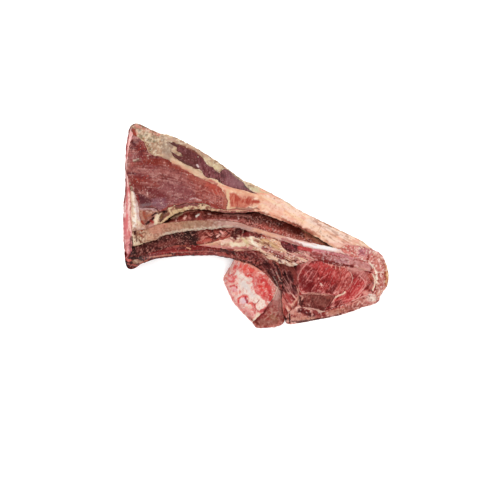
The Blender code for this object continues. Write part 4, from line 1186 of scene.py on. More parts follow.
@painter
def paint_rib_meat(coat):
    """Meat between the band and the rib: near black and coarse at the left, curly pink red at the right."""
    x = coat.x
    coat.ground(0.3 * coat.noise(7) + 0.7 * coat.noise(2.2), ["3C1616", "502222", "622F2E", "84524E"], 0.8)
    coat.wet += 0.35
    right = step(x, -100, -84)
    coat.lay(0.75 * right, "9C4840")
    curl = coat.fibres(15, 6, 1.8, 2, 2.5 * np.sin(x / 3.1))
    coat.lay(0.75 * right * step(curl, 0.48, 0.64), "5C1E1C", -0.7)
    coat.lay(0.6 * right * step(-curl, -0.44, -0.34), "CC8A80", 0.5, 0.4)
    coat.marks(
        ((-205, -36, -200, -46), 9, "1E0B0B", 0.75, -0.8, 0.7, 1.2),
        ((-207, -30, -206, -46), 4, "5E464E", 0.8), ((-192, -34, -170, -28, -150, -20), 5, "401816", 0.6),
        ((-137, -12, -132, -16), 7, "1C0909", 0.7, -0.7, 0.7, 1.3),
        ((-112, -12, -106, -22, -98, -29), 14, "200A0A", 0.85, -0.9, 0.7, 1.3),
        ((-66, -19, -58, -14), 6, "40120F", 0.8, -0.5, 1.1), ((-84, -27, -76, -24), 5, "C07C70", 0.7, 0.3),
        ((-126, -14, -118, -22), 5, "2A0E0E", 0.6, -0.5, 0.7, 1.2),
        ((-160, -32, -130, -24), 6, "6C3430", 0.6, 0.3),
        ((-95, -28, -84, -24, -74, -23), 5, "A84C44", 0.7, 0.3),
        ((-66, -24, -54, -21, -42, -17), 4, "A04A42", 0.75, 0.2, 1.2, 0.8, 0.3),
        ((-58, -9, -55, -12), 3.4, "E8A098", 0.85, 0.7, 0.7, 0.8, 0.5),
        ((-64, -18, -60, -15), 2.6, "E4A8A0", 0.8, 0.6, 0.7, 0.8, 0.5),
        ((-78, -8, -66, -6, -52, -6), 3, "6A2420", 0.7, -0.6),
        ((-60, -4, -50, -7, -44, -12), 2, "4A1412", 0.85, -0.9),
        ((-72, -8, -68, -14, -74, -20), 2, "4A1412", 0.8, -0.9), ((-40, -7, -36, -14), 4, "8A3028", 0.6),
        ((-36, -11, -24, -10, -12, -9), 11, "3E0E0E", 0.9, -0.8, 0.7, 1.2),
        ((-26, -10), 7, "5E1412", 0.9, -0.8, 0.7, 0.8, 0.4),
        ((-14, -10), 6, "681814", 0.9, -0.8, 0.7, 0.8, 0.4), ((-20, -6, -21, -12), 1.8, "A87E74", 0.7, 0.4))
    coat.specks(1.6, 0.1, "B07C72", 0.65, 0.3, 0.5)


@painter
def paint_fat_pad(coat):
    """Fat pad: smooth cream at the left, olive and pink streaks that fan down to the right, cream knots."""
    x = coat.x
    right = step(x, -8, 10)
    streak = (0.55 * coat.fibres(-24, 17, 1.5, 2, 3 * coat.noise(9, 2)) + 0.25 * coat.noise(2.2)
              + 0.2 * coat.noise(8))
    streak += step(-x, 4, 20) * (0.8 * coat.noise(4) - 0.4 - 0.8 * (streak - 0.5))
    rank = even(streak)
    cream = ramp(rank, ["B4927C", "CAAA8E", "DABEA0", "EED6C0"])
    streaky = ramp(rank, [(0.05, "5E4030"), (0.25, "96745A"), (0.5, "C09C7C"), (0.75, "D8B896"),
                          (0.95, "F0D6BC")])
    coat.ground(streak, [(0, "808080"), (1, "808080")], 1.3)
    coat.tint = cream * (1 - right[:, None]) + streaky * right[:, None]

    # smooth left part
    coat.marks(
        ((-96, -31, -80, -30, -64, -31), 4, "D4AC8C", 0.8), ((-74, -26, -56, -25), 4, "E6BEA4", 0.7),
        ((-92, -34, -60, -36, -30, -37, -8, -37), 5, "CC988A", 0.8, -0.4, 1.1),
        ((-54, -26, -42, -24), 7, "F2CCB8", 0.7, 0.3, 0.7, 1.4),
        ((-40, -30, -20, -31), 6, "F0DEC0", 0.7, 0.3),
        ((-26, -17, -18, -24, -12, -29), 5, "D8CDA0", 0.6, 0, 1.2, 1.4),
        ((-17, -16, -12, -22), 3, "E0CCA6", 0.6, 0, 0.7, 1.3))
    coat.patch((-44, -17, -30, -11, -11, -7, -6, -13, -12, -18, -22, -19, -34, -21), "4A1412", 0.9, -0.8,
               0.2, 3, 3, 4)
    coat.marks(
        ((-20, -13, -13, -13), 4, "6E1C16", 0.7, -0.3, 0.7, 0.8, 0.3),
        ((-44, -12, -32, -9), 6, "A65C52", 0.85, 1.5), ((42, -28, 47, -35), 6, "F0CCA8", 0.8, 0.3),
        ((8, -28, 18, -33), 5, "E0CAA0", 0.7, 0.2), ((-22, -12, -23, -18), 1.8, "C49C86", 0.7, 0.3, 1.2),
        ((-36, -19, -33, -22), 3, "4A2A24", 0.9, -1), ((-42, -21, -38, -24), 2, "8A5A50", 0.6, -0.5),
        ((-31, -14, -26, -18), 3, "C8B498", 0.7), ((-9, -14, -7, -22, -4, -29), 3, "F4E6CC", 0.9, 0.6),
        ((-6, -28, 0, -32, 6, -36), 4.5, "F6E2CC", 0.85, 0.7, 1.1),
        ((6, -32, 14, -36), 4, "E8C8B0", 0.7, 0.3))

    # dark specks under the band
    coat.marks(
        ((-7, -11, 0, -14, 9, -17), 8, "806854", 0.75, -0.4),
        ((-11, -15, -2, -14, 6, -16), 7, "7C4A3C", 0.75, -0.3, 1.2))
    for spot in [(-6, -11), (-3, -15), (2, -12), (5, -17), (9, -14), (0, -18), (10, -19)]:
        coat.mark([spot], 3, "35201A", 0.85, -0.8)
    coat.marks(
        ((12, -17, 18, -19, 24, -22), 4, "A4583A", 0.8, -0.2),
        ((8, -21, 20, -27, 34, -34), 4, "A89064", 0.7),
        ((14, -24, 24, -29, 34, -35, 44, -41), 7, "DDBE90", 0.75, 0.4, 1.2),
        ((16, -34, 24, -38), 5, "DEB69A", 0.7, 0.2), ((26, -24, 36, -28, 40, -35), 4, "E8BC98", 0.8, 0.3),
        ((38, -24, 44, -34, 50, -42), 3, "ECC6A8", 0.8, 0.3),
        ((42, -38, 54, -45, 68, -46), 3, "EAC8AE", 0.7, 0.3))

    # cream strip beside the rib and the mauve streaks above it
    coat.marks(
        ((4, -36, 16, -45, 38, -56), 3.4, "E8C8AC", 0.85, 0.8, 1.3),
        ((12, -38, 22, -45), 4, "B47C70", 0.7, -0.4, 1.2),
        ((12, -34, 28, -43, 46, -50), 3, "7A4A42", 0.8, -0.8),
        ((24, -40, 40, -45, 62, -50), 6, "BC867A", 0.7, -0.2, 0.7, 1.2),
        ((28, -38, 48, -44, 70, -48), 2.2, "E6C2A4", 0.8, 0.4),
        ((40, -52, 58, -55, 76, -57), 2, "E0B8A0", 0.7, 0.3),
        ((14, -29, 30, -36), 1.4, "6E5438", 0.7, -0.6),
        ((60, -48, 76, -50, 88, -53), 5, "DCA898", 0.8, 0, 1.2),
        ((76, -44, 84, -46, 90, -51), 5, "E0B0A0", 0.85, 0.4, 1.2),
        ((86, -56, 97, -57), 4, "CC9484", 0.8, 0.2, 1.2), ((66, -58, 76, -60), 5, "5A3430", 0.7, -0.5, 1.2),
        ((90, -51, 98, -56), 4, "B06E62", 0.8, -0.3, 1.2),
        ((68, -60, 84, -58, 98, -58), 2.4, "E8B8A4", 0.8, 0.3),
        ((66, -50, 80, -51), 2, "8A5A50", 0.6, -0.5), ((40, -58), 5, "3C2018", 0.9, -1.6),
        ((37, -51, 46, -54), 5, "7A4840", 0.8, -0.4, 1.1))
    for bit in [[(43, -57), (46, -61)], [(52, -60), (56, -66)], [(62, -61), (66, -63)]]:
        coat.mark(bit, 3.4, "E4CDB8", 0.8, 0.6, soft=1.2, rough=1.2)
    coat.mark((49, -58, 51, -65), 1.6, "6A3C34", 0.6, -0.6)
    strands = coat.fibres(-26, 14, 0.9)
    coat.lay(0.5 * right * step(strands, 0.58, 0.7), "5E3A30", -0.5)
    coat.lay(0.5 * right * step(-strands, -0.42, -0.3), "EED2BA", 0.4)
    coat.specks(2.0, 0.06, "5E3A30", 0.7, -0.7, within=right)
    coat.specks(2.0, 0.06, "F6E4D2", 0.7, 0.5, within=right)


@painter
def paint_cap_meat(coat):
    """Band above the eye: dark at its left end, magenta pink above, mauve below with a painted shadow, red at
    the eye.
    """
    x, y = coat.x, coat.y
    above = seam_distance(x, y, ["band_cap"])
    coat.ground(0.4 * coat.fibres(-13, 11, 1.6) + 0.35 * coat.noise(2.6) + 0.3 * coat.noise(8),
                ["6C302E", "96504E", "AE6868", "D09494"], 1.0)
    coat.wet += 0.3
    coat.lay(0.7 * step(-above, -5.5, -2.5) * step(x, 88, 98), "C67880", 0.2)
    coat.marks(
        ((46, -30, 56, -36, 64, -40), 15, "4A1A24", 0.9, -1, 0.7, 1),
        ((50, -28, 60, -30, 68, -33), 9, "341018", 0.8, -0.6, 0.7, 1.3),
        ((43, -26, 52, -29), 4, "7A2E34", 0.7), ((50, -38, 58, -42), 3, "2E1014", 0.8, -0.8),
        ((58, -30, 62, -38), 2, "8A4048", 0.6), ((72, -36, 82, -38, 90, -40), 7, "A43C40", 0.85, 0.2),
        ((76, -43, 84, -45, 90, -50), 5, "D69C90", 0.85, 0.4, 1.2),
        ((94, -45, 104, -50, 112, -53), 6, "6A2426", 0.8, -0.5),
        ((100, -45, 116, -46, 134, -48), 3, "A85458", 0.6),
        ((112, -50, 140, -54, 160, -58), 8, "8A4E50", 0.55, -0.2, 0.7, 1.3),
        # dark band along the lower side: painted shadow
        ((104, -57, 124, -61, 148, -66), 5, "561816", 0.75, -0.8, 0.7, 0.8, 0.2),
        ((114, -58, 132, -61), 7, "6A2226", 0.75, -0.4, 0.7, 1.3),
        ((150, -65, 164, -68, 178, -73, 192, -79), 3, "54161A", 0.85, -0.8),
        ((170, -69, 178, -72), 2.4, "2E0C10", 0.7, -0.6), ((134, -57, 152, -60), 4, "9A6870", 0.6),
        ((154, -58, 168, -62, 186, -70), 8, "BE8280", 0.7, 0.2, 0.7, 1.2),
        ((164, -68, 182, -74), 5, "CE9086", 0.75, 0.2))
    mottled = step(x, 98, 110) * step(-x, -172, -160)
    coat.specks(2.6, 0.16, "D0A8A6", 0.45, 0.2, 0.4, within=mottled)
    coat.specks(3.0, 0.16, "561E22", 0.5, -0.3, within=mottled)
    coat.specks(1.8, 0.05, "D09C98", 0.5, 0.3, 0.3)


@painter
def paint_rim_meat(coat):
    """Dried pink meat round the rim, lilac in places, with rust spots and a yellow outer edge."""
    x, y = coat.x, coat.y
    coat.ground(0.45 * coat.noise(9) + 0.55 * coat.noise(2.2),
                ["A86860", "C6827A", "D39690", "E6B6AC"], 1.0)
    coat.lay(0.55 * step(x, 168, 172) * step(-x, -192, -182) * step(y, -56, -46), "BA8088")
    coat.marks(
        ((139, -34, 150, -33, 164, -36), 4, "C4706A", 0.7), ((142, -38, 155, -44), 5, "CC7C72", 0.6),
        ((137, -35, 138, -38), 2.4, "A83C34", 0.8), ((150, -32, 153, -31), 2, "8A4A3C", 0.7),
        ((196, -44, 206, -52, 210, -62), 6, "DCA494", 0.7), ((172, -40, 178, -46), 4, "8A6474", 0.6),
        ((186, -50, 185, -57), 4, "70282A", 0.85, -0.9, 0.7, 0.8, 0.2),
        ((176, -43, 170, -48), 2.4, "8A4A50", 0.7, -0.4), ((200, -58, 203, -68), 3, "B86E60", 0.6),
        ((196, -82, 200, -92, 199, -102), 5, "D69C88", 0.7))

    # white seam and rust beside it
    coat.marks(
        ((188, -63, 195, -68, 199, -77), 2.6, "F0CCBA", 0.85, 0.5, 1.1),
        ((199, -77, 199, -88, 196, -98, 194, -105), 4.6, "F4D4C4", 0.8, 0.7, 1.2, 1.2),
        ((203, -76, 204, -96, 199, -106), 3, "8A5242", 0.6, -0.5),
        ((213, -74, 215, -77), 3.4, "9A3A2C", 0.8),
        ((214, -78, 216, -86, 215, -96), 6, "74401E", 0.9, -0.5, 1.1),
        ((213, -100, 209, -109), 5, "8A4E36", 0.7, -0.3, 1.2),
        ((216, -64, 218, -80, 217, -98), 4, "E4AE80", 0.75, 0, 1.1),
        ((204, -52, 212, -62, 215, -70), 2.4, "8C5240", 0.6, -0.3, 1.3),
        ((215, -96, 210, -106), 3, "A05E48", 0.6, -0.3, 1.3),
        ((209, -94, 205, -100), 3, "8E4038", 0.7, -0.5), ((206, -108, 212, -104), 5, "E4A48E", 0.7),
        ((199, -110, 203, -116, 200, -119), 4, "8A4A30", 0.75, -0.6),
        ((205, -112, 208, -107), 3, "C07A50", 0.6), ((190, -104, 196, -111), 4, "9A5A44", 0.6),
        ((210, -104, 213, -100), 5, "B88078", 0.8, -0.4),
        ((186, -113, 200, -117), 10, "E8A698", 0.7, 0.3, 0.7, 1.3),
        ((188, -116, 197, -121), 8, "F6D8CC", 0.85, 0, 0.7, 1.2),
        ((202, -115, 204, -120), 6, "B87264", 0.7, 0, 0.7, 1.2))
    for spot in [(205, -98), (207, -88), (209, -80), (211, -70), (203, -84), (206, -106), (192, -48),
                 (178, -36)]:
        coat.mark([spot], 3.0, "9A4E40", 0.65, -0.5, rough=1.3)
    coat.specks(3.0, 0.12, "96504C", 0.6, -0.4)
    coat.specks(2.0, 0.12, "743C3A", 0.6, -0.4)
    coat.specks(2.4, 0.3, "84402E", 0.6, -0.5, within=step(x, 203, 211))
    coat.specks(1.8, 0.08, "8C4A44", 0.5, -0.3)
    coat.specks(2.4, 0.12, "F0CCBC", 0.6, 0.4)


@painter
def paint_rib_bone(coat):
    """Curved rib: a deep red band above, pale lines along it, one a painted highlight, dark purple at the
    bend, brown sawn end.
    """
    x, y = coat.x, coat.y
    low_line = seam_distance(x, y, ["arc_edge", "rib_chine"])
    along = noise(np.stack([x / 22, low_line / 1.5, 0 * x], axis=1), 1.0, 611, 2)
    coat.ground(0.35 * along + 0.55 * coat.noise(2.2) + 0.3 * coat.noise(9),
                ["3E1212", "5E2220", "783430", "A0605A"], 1.1)
    coat.wet += 0.4

    # left arm
    coat.marks(
        ((-176, -46, -150, -42, -120, -38, -92, -36), 6.5, "801612", 0.9, -0.2, 0.7, 0.8, 0.2),
        ((-136, -32, -124, -32, -116, -33), 2.4, "A86A5A", 0.75, 0.4),
        ((-128, -38, -108, -37), 5, "5A1212", 0.7, -0.2),
        # small pale wet spot: a painted glint
        ((-114, -36, -108, -38), 2.4, "E0A890", 0.7, 0.3, 0.7, 0.8, 0.4),
        ((-160, -46, -135, -42, -115, -41), 2.4, "A84A48", 0.6, 0.3, 0.7, 0.8, 0.3),
        # pale wet line below the deep red band: a painted highlight streak
        ((-138, -44, -112, -43, -80, -42, -50, -45), 1.8, "BE7A72", 0.7, 0.3, 0.7, 0.8, 0.3),
        ((-100, -47, -70, -46, -48, -48), 2.6, "8E2E2C", 0.6),
        ((-176, -52, -158, -50, -140, -48), 1.8, "D09484", 0.75, 0.2),
        ((-132, -47, -108, -47), 2.4, "9E3A38", 0.6),
        ((-100, -36, -80, -37, -62, -39), 6, "7C1A18", 0.85, -0.2),
        ((-66, -42, -40, -43, -12, -42), 3.4, "5A1A1C", 0.7),
        ((-60, -48, -40, -51, -20, -56), 3, "C08078", 0.5, 0.2))

    # bend
    coat.marks(
        ((-34, -40, -10, -39.5, 2, -40), 3.4, "D8A494", 0.8, 1, 1.1),
        ((-14, -44, 4, -49, 20, -62, 30, -78), 14, "52242A", 0.6, -0.4, 0.7, 1.3),
        ((-30, -45, -10, -43, 8, -42), 3.4, "7C2826", 0.7),
        ((-5, -42, 14, -52, 30, -66), 1.6, "8E5A58", 0.35, 0.3, 1.3),
        ((-16, -50, 6, -58, 20, -72), 1.6, "9A7470", 0.35, 0.3, 1.3),
        ((6, -41, 22, -54, 36, -64), 2.2, "C89C86", 0.5, 0.4, 1.2))
    bend = step(x, -50, -30)
    coat.lay(0.5 * bend * step(coat.fibres(-52, 9, 2.2), 0.54, 0.68), "A07A76", 0.3, 0.3)
    coat.mark((8, -42, 22, -51, 38, -62, 46, -72), 11, "B0786E", 0.7, 0.3, soft=1.5)
    coat.lay(0.6 * bend * step(coat.noise(4), 0.54, 0.68), "38141A", -0.4)
    for streak in [[(-34, -46), (-28, -52)], [(12, -50), (20, -58)], [(26, -72), (32, -82)]]:
        coat.mark(streak, 1.8, "AE9088", 0.5, 0.4, wet=0.3, rough=1.2)
    coat.marks(
        ((24, -50, 36, -60, 44, -72), 8, "8A5048", 0.6, 0.3, 0.7, 1.3),
        ((30, -60, 37, -70, 41, -82, 43, -96), 4.5, "2E1214", 0.8, -1),
        ((22, -76, 32, -88, 37, -98), 6, "3A1A1A", 0.7, -0.8),
        ((29, -84, 35, -94, 39, -104), 1.8, "B09890", 0.65, 0.4, 1.2),
        ((34, -76, 40, -90), 1.6, "B8A49A", 0.6, 0.4), ((15, -74, 24, -84, 30, -92), 1.8, "94746A", 0.5),
        ((-72, -52, -52, -54, -36, -58), 2.6, "6A221E", 0.85, -0.3),
        ((-36, -57, -8, -65, 14, -79, 32, -98), 3.2, "A0705E", 0.85, 0.4),
        ((-34, -54, -8, -61, 10, -73), 2.2, "46181A", 0.75, -0.6))

    # sawn end
    coat.patch((-222, -48, -206, -53, -186, -49, -184, -58, -204, -74, -222, -74), "401814", 0.9, -0.8,
               0.2, 3, 2)
    coat.marks(
        ((-204, -58, -194, -60), 6, "A88474", 0.85, 0.7, 1.3),
        ((-200, -57, -197, -60), 2.6, "C4A294", 0.7, 0.3), ((-214, -56, -209, -58), 5, "D07870", 0.85, 0.3),
        ((-213, -63, -203, -65, -196, -67), 2.6, "B4726A", 0.8, 0.3),
        ((-212, -69, -204, -70), 2.6, "6E2A24", 0.8), ((-208, -60, -206, -66), 2.4, "240C0A", 0.85, -0.8),
        ((-216, -52, -198, -53, -184, -51), 3, "2A0C0A", 0.85, -0.8),
        ((-192, -62, -180, -57), 2.4, "C88C7C", 0.7), ((-187, -50, -178, -50), 4, "5E2018", 0.7))
    coat.specks(2.0, 0.09, "BE8A82", 0.6, 0.4, 0.3)


@painter
def paint_deep_meat(coat):
    """Hollow between the bones and the eye: black with painted shade, crossed by grey pink strands, pink
    tissue at its foot.
    """
    x, y = coat.x, coat.y
    strands = coat.fibres(-58, 12, 1.4)
    foot = step(-y + 0.3 * (x - 55), 104, 118)
    rank = even(0.7 * strands + 0.4 * coat.noise(3))
    # the dark colours of the upper part are dark meat with painted shade for the hollow
    dark = ramp(rank, [(0.05, "220C0D"), (0.4, "46191A"), (0.7, "6C3836"), (0.95, "B48A84")])
    pink = ramp(rank, [(0.05, "7C3836"), (0.4, "A86460"), (0.7, "C08880"), (0.95, "E8BCB0")])
    coat.ground(strands, [(0, "808080"), (1, "808080")], 1.8)
    coat.tint = dark * (1 - foot[:, None]) + pink * foot[:, None]
    coat.wet += 0.3
    coat.marks(
        ((42, -62, 50, -68, 62, -76), 11, "B4746A", 0.7, 0.4, 0.7, 1.5),
        ((55, -79, 57, -88), 8, "3A121A", 0.8, -1.2, 1, 1.2),
        ((64, -70, 67, -82, 66, -94), 6, "9C5A54", 0.75, 0.2, 0.7, 1.3),
        ((60, -102, 66, -110), 8, "48202A", 0.75, -0.8, 0.7, 1.2),
        ((68, -70, 69, -88, 70, -104), 2.6, "B8746E", 0.6, 0.3))
    for strand in [[(46, -84), (51, -93), (58, -108)], [(52, -82), (55, -90)], [(57, -92), (60, -104)],
                   [(45, -96), (50, -102), (54, -112)], [(48, -72), (52, -80)]]:
        coat.mark(strand, 1.6, "BC948C", 0.65, 0.6, wet=0.4, rough=1.2)
    coat.marks(
        ((70, -104, 73, -114, 67, -124, 56, -134), 3.4, "E4B0A0", 0.8, 0.6, 1.3),
        ((72, -118, 66, -130, 60, -138), 2.4, "DCA394", 0.7, 0.4, 1.3),
        ((52, -116, 58, -126), 7, "B4605C", 0.6), ((48, -120, 52, -132), 2.2, "8A2C2A", 0.7, -0.5),
        ((46, -138, 47, -149), 6, "8A2824", 0.8, -0.4, 0.7, 0.8, 0.4),
        ((45, -141, 53, -146), 6, "7A3630", 0.7, -0.3),
        ((68, -126, 65, -133), 4, "9C4A44", 0.7, -0.2, 0.7, 1.3),
        ((45, -124, 47, -134), 6, "CC8278", 0.6, 0.2, 0.7, 1.3),
        ((56, -134, 62, -142), 5, "984A42", 0.75, -0.3), ((50, -132, 56, -138), 3, "D09888", 0.7, 0.3, 1.2),
        ((44, -112, 45, -128, 46, -142), 1.8, "C88E82", 0.45, 0.3, 1.2),
        ((46, -150, 50, -155), 4, "1E0E0E", 0.9, -1.2))
    coat.specks(1.8, 0.04, "B88A84", 0.6, 0.3, 0.4)


@painter
def paint_eye_muscle(coat):
    """Eye of the rib: bright red, darker at the left, painted shade in a fold, rayed at the right, thinly
    marbled.
    """
    x, y = coat.x, coat.y
    swirl = 9 * coat.noise(16, 2)
    coat.ground(0.32 * coat.fibres(60, 6, 1.1, 2, swirl) + 0.36 * coat.noise(2.0) + 0.32 * coat.noise(10),
                ["741D20", "983634", "AE4A46", "C2625C", "E69C92"], 0.9)
    coat.wet += 0.4
    coat.marks(
        ((108, -70, 128, -76, 132, -90), 17, "B64440", 0.6, 0, 0.7, 1.4),
        ((76, -86, 80, -98, 88, -104), 13, "76191D", 0.8, -0.5, 0.7, 1.2),
        ((76, -76, 84, -72, 92, -68), 7, "94302E", 0.6),
        # dark fold at the lower right: painted shade in a shallow hollow
        ((124, -108, 130, -101, 134, -94), 8, "6A1C1E", 0.75, -0.6, 0.7, 1.4),
        ((86, -72, 92, -80, 92, -90), 11, "7C2024", 0.7, -0.3, 0.7, 1.4),
        ((98, -108, 108, -110), 6, "8A3230", 0.6, -0.2, 0.7, 1.3),
        ((100, -100, 114, -106), 7, "9A3432", 0.6),
        ((76, -94, 84, -88, 88, -98, 96, -104), 12, "741C1E", 0.6, -0.3, 0.7, 1.4),
        ((94, -66, 108, -64, 122, -69), 8, "C0524E", 0.6, 0.2, 0.7, 1.4))

    # rayed right half
    ray_x, ray_y = 143.0, -90.0
    angle = np.arctan2(y - ray_y, x - ray_x)
    ring = np.hypot(x - 118, y + 88)
    rays = noise(np.stack([2.6 * angle, ring / 1.5, swirl / 5], axis=1), 1.0, 655, 2)
    half = step(x, 131, 138) * step(-np.hypot(x - ray_x, y - ray_y), -22, -17)
    coat.lay(0.4 * half, "BA564C")
    coat.lay(0.5 * half * step(rays, 0.52, 0.64), "D88478", 0.3)
    coat.lay(0.45 * half * step(-rays, -0.42, -0.32), "8E302C", -0.3)
    coat.marks(
        ((142, -92, 144, -98), 5, "8A2A2A", 0.5, -0.3),
        ((84, -69, 94, -72), 7, "7E2A28", 0.6, -0.3, 0.7, 1.3),
        ((98, -86, 103, -94), 7, "902E2C", 0.6, -0.2, 0.7, 1.3), ((134, -72, 146, -74), 7, "C86458", 0.5))

    # marbling
    for strand in [[(92, -107), (96, -101), (99, -97)], [(106, -89), (112, -84), (118, -80)],
                   [(83, -92), (88, -84), (94, -74)], [(79, -84), (86, -76), (93, -70)],
                   [(96, -84), (102, -74)], [(86, -89), (92, -91)], [(110, -102), (114, -94)],
                   [(125, -84), (130, -76)]]:
        coat.mark(strand, 1.7, "DC8C84", 0.55, 0.3, wet=0.2, rough=1.2)
    for dash in [[(101, -88), (104, -80)], [(90, -98), (93, -92)], [(112, -92), (115, -86)],
                 [(116, -72), (122, -68)], [(103, -104), (106, -99)]]:
        coat.mark(dash, 1.5, "7A2222", 0.7, -0.4)
    coat.lay(0.4 * step(coat.fibres(66, 5, 0.9, 2, swirl), 0.62, 0.72), "DE9C92", 0.2, 0.2)
    coat.lay(0.5 * step(coat.fibres(60, 6, 1.6, 2, swirl), 0.6, 0.72), "76201E", -0.3)
    # pale wet spot: a painted glint
    coat.mark((107, -95, 109, -98), 2.2, "F0C0B4", 0.7, 0.3, wet=0.4)

    # rim of sinew
    coat.patch((60, -58, 90, -57, 80, -65, 74, -73, 70, -84, 60, -86), "A45E58", 0.85, -0.4, 0, 3, 2, 3)
    coat.marks(
        ((68, -62, 72, -68, 66, -74), 6, "7A2A28", 0.75, -0.4), ((76, -61, 86, -59), 3, "C88A7C", 0.7, 0.2),
        ((91, -59, 82, -65, 75, -73, 70, -84, 69, -96, 72, -106, 78, -112), 1.7, "D89A8E", 0.65, 0.3, 1.1),
        ((76, -112, 94, -110, 106, -112), 1.7, "DC9C8E", 0.65, 0.3, 1.1),
        ((108, -112, 118, -112, 130, -116), 1.4, "D89084", 0.6, 0.2),
        ((147, -67, 156, -76, 160, -86, 158, -94), 1.7, "DCA296", 0.7, 0.3, 1.1),
        ((157, -96, 153, -103, 148, -108), 1.5, "D0948A", 0.5, 0.3, 1.2),
        ((120, -64, 134, -66, 146, -69), 1.8, "DC9888", 0.6, 0.2))
    for tick in [[(124, -64), (125, -69)], [(131, -65), (132, -71)], [(138, -67), (139, -73)]]:
        coat.mark(tick, 1.3, "E8A898", 0.7, 0.2)


@painter
def paint_eye_crescent(coat):
    """Crescent round the eye: mauve pink at the top, bright red below, rust at its outer corner."""
    x, y = coat.x, coat.y
    coat.ground(0.4 * coat.fibres(48, 10, 1.6) + 0.3 * coat.noise(2.5) + 0.3 * coat.noise(9),
                ["7E2A28", "A24240", "B65652", "C8706A", "EAAA9E"], 0.9)
    coat.wet += 0.35
    coat.marks(
        ((158, -73, 172, -77, 184, -84), 12, "C28078", 0.75, 0.2, 0.7, 1.3),
        ((152, -70, 164, -72, 176, -74), 4, "D89C92", 0.7, 0.3),
        ((166, -80, 176, -84), 2, "A05450", 0.6, -0.3),
        ((166, -92, 160, -104, 148, -114), 14, "C04A4A", 0.6, 0, 0.7, 1.3),
        ((138, -126, 148, -130, 158, -128), 8, "96403C", 0.65, -0.2, 0.7, 1.3),
        ((176, -96, 168, -110, 150, -122), 9, "C44A4A", 0.6, 0, 0.7, 1.3),
        ((171, -82, 179, -90, 181, -98, 175, -107, 164, -117), 1.7, "EAAAA0", 0.7, 0.3),
        ((129, -118, 138, -114, 147, -110), 3.6, "F0C8B4", 0.9, 0.6),
        ((134, -127, 146, -123, 162, -119), 2.4, "E48C84", 0.7, 0.3),
        ((138, -132, 150, -127, 166, -121), 2.2, "DC8078", 0.7, 0.3),
        ((118, -134, 128, -128, 140, -125), 5, "7C1E20", 0.8, -0.6),
        ((114, -139, 126, -135, 142, -131), 3, "6A1C1C", 0.8, -0.5),
        ((132, -122, 146, -116), 4, "B83638", 0.6))

    # rust at the outer corner
    coat.patch((185, -80, 193, -81, 196, -92, 193, -105, 184, -106, 183, -97, 188, -90), "984E40", 0.55,
               -0.5, 0, 4, 3, 3)
    coat.mark((188, -82, 191, -88), 6, "B0482E", 0.75, soft=1.3)
    coat.specks(2.2, 0.36, "52241E", 0.75, -0.6, within=step(x, 181, 185) * step(-y, 84, 94))
    coat.marks(
        ((193, -80, 197, -88, 196, -98, 193, -106), 2.6, "F4D0BC", 0.9, 0.6),
        ((178, -110, 190, -112, 197, -115), 5, "DC9A8E", 0.8, 0.3),
        ((188, -114, 196, -115), 4, "F4D4CA", 0.8, 0.5),
        ((160, -124, 172, -119, 184, -114), 2.6, "EAB0A4", 0.8, 0.3))
    coat.lay(0.5 * step(coat.fibres(58, 8, 1.0), 0.6, 0.7), "E8A098", 0.2, 0.2)
    coat.specks(1.8, 0.05, "EAA89E", 0.5, 0.3, 0.3)


@painter
def paint_lower_muscle(coat):
    """Brown mauve muscle under the eye, dark at the left, thin pale seams round it."""
    coat.ground(0.3 * coat.noise(8) + 0.7 * coat.noise(2.6), ["4E1D1C", "6C322E", "7E423C", "A46C62"], 0.9)
    coat.wet += 0.3
    coat.marks(
        ((98, -120, 112, -124), 13, "6A4038", 0.6, 0, 0.7, 1.3), ((90, -116, 100, -117), 5, "7E4A42", 0.6),
        ((74, -120, 76, -128), 7, "36120F", 0.85, -0.6),
        ((86, -130, 98, -134, 110, -136), 5, "5A2420", 0.7),
        ((73, -114, 78, -117, 76, -122), 2.6, "E4A898", 0.8, 0.3),
        ((70, -122, 69, -131), 4, "E8B4A6", 0.85, 0.4))
    coat.lay(0.4 * step(coat.fibres(75, 8, 1.1), 0.58, 0.7), "B08478", 0.2, 0.2)
    coat.lay(0.5 * step(coat.fibres(100, 7, 1.3), 0.58, 0.7), "4A2420", -0.3)
    coat.marks(
        ((86, -129, 89, -132), 1.8, "D8A298", 0.7, 0.3, 0.7, 0.8, 0.4),
        ((118, -118, 126, -120, 124, -130), 5, "8A4A40", 0.6),
        ((78, -112, 98, -112, 120, -114), 1.8, "E8AC9A", 0.8, 0.3),
        ((72, -135, 88, -136, 104, -139), 2.2, "E8B6A8", 0.8, 0.3),
        ((114, -139, 121, -131, 129, -120), 2, "642020", 0.7, -0.4))


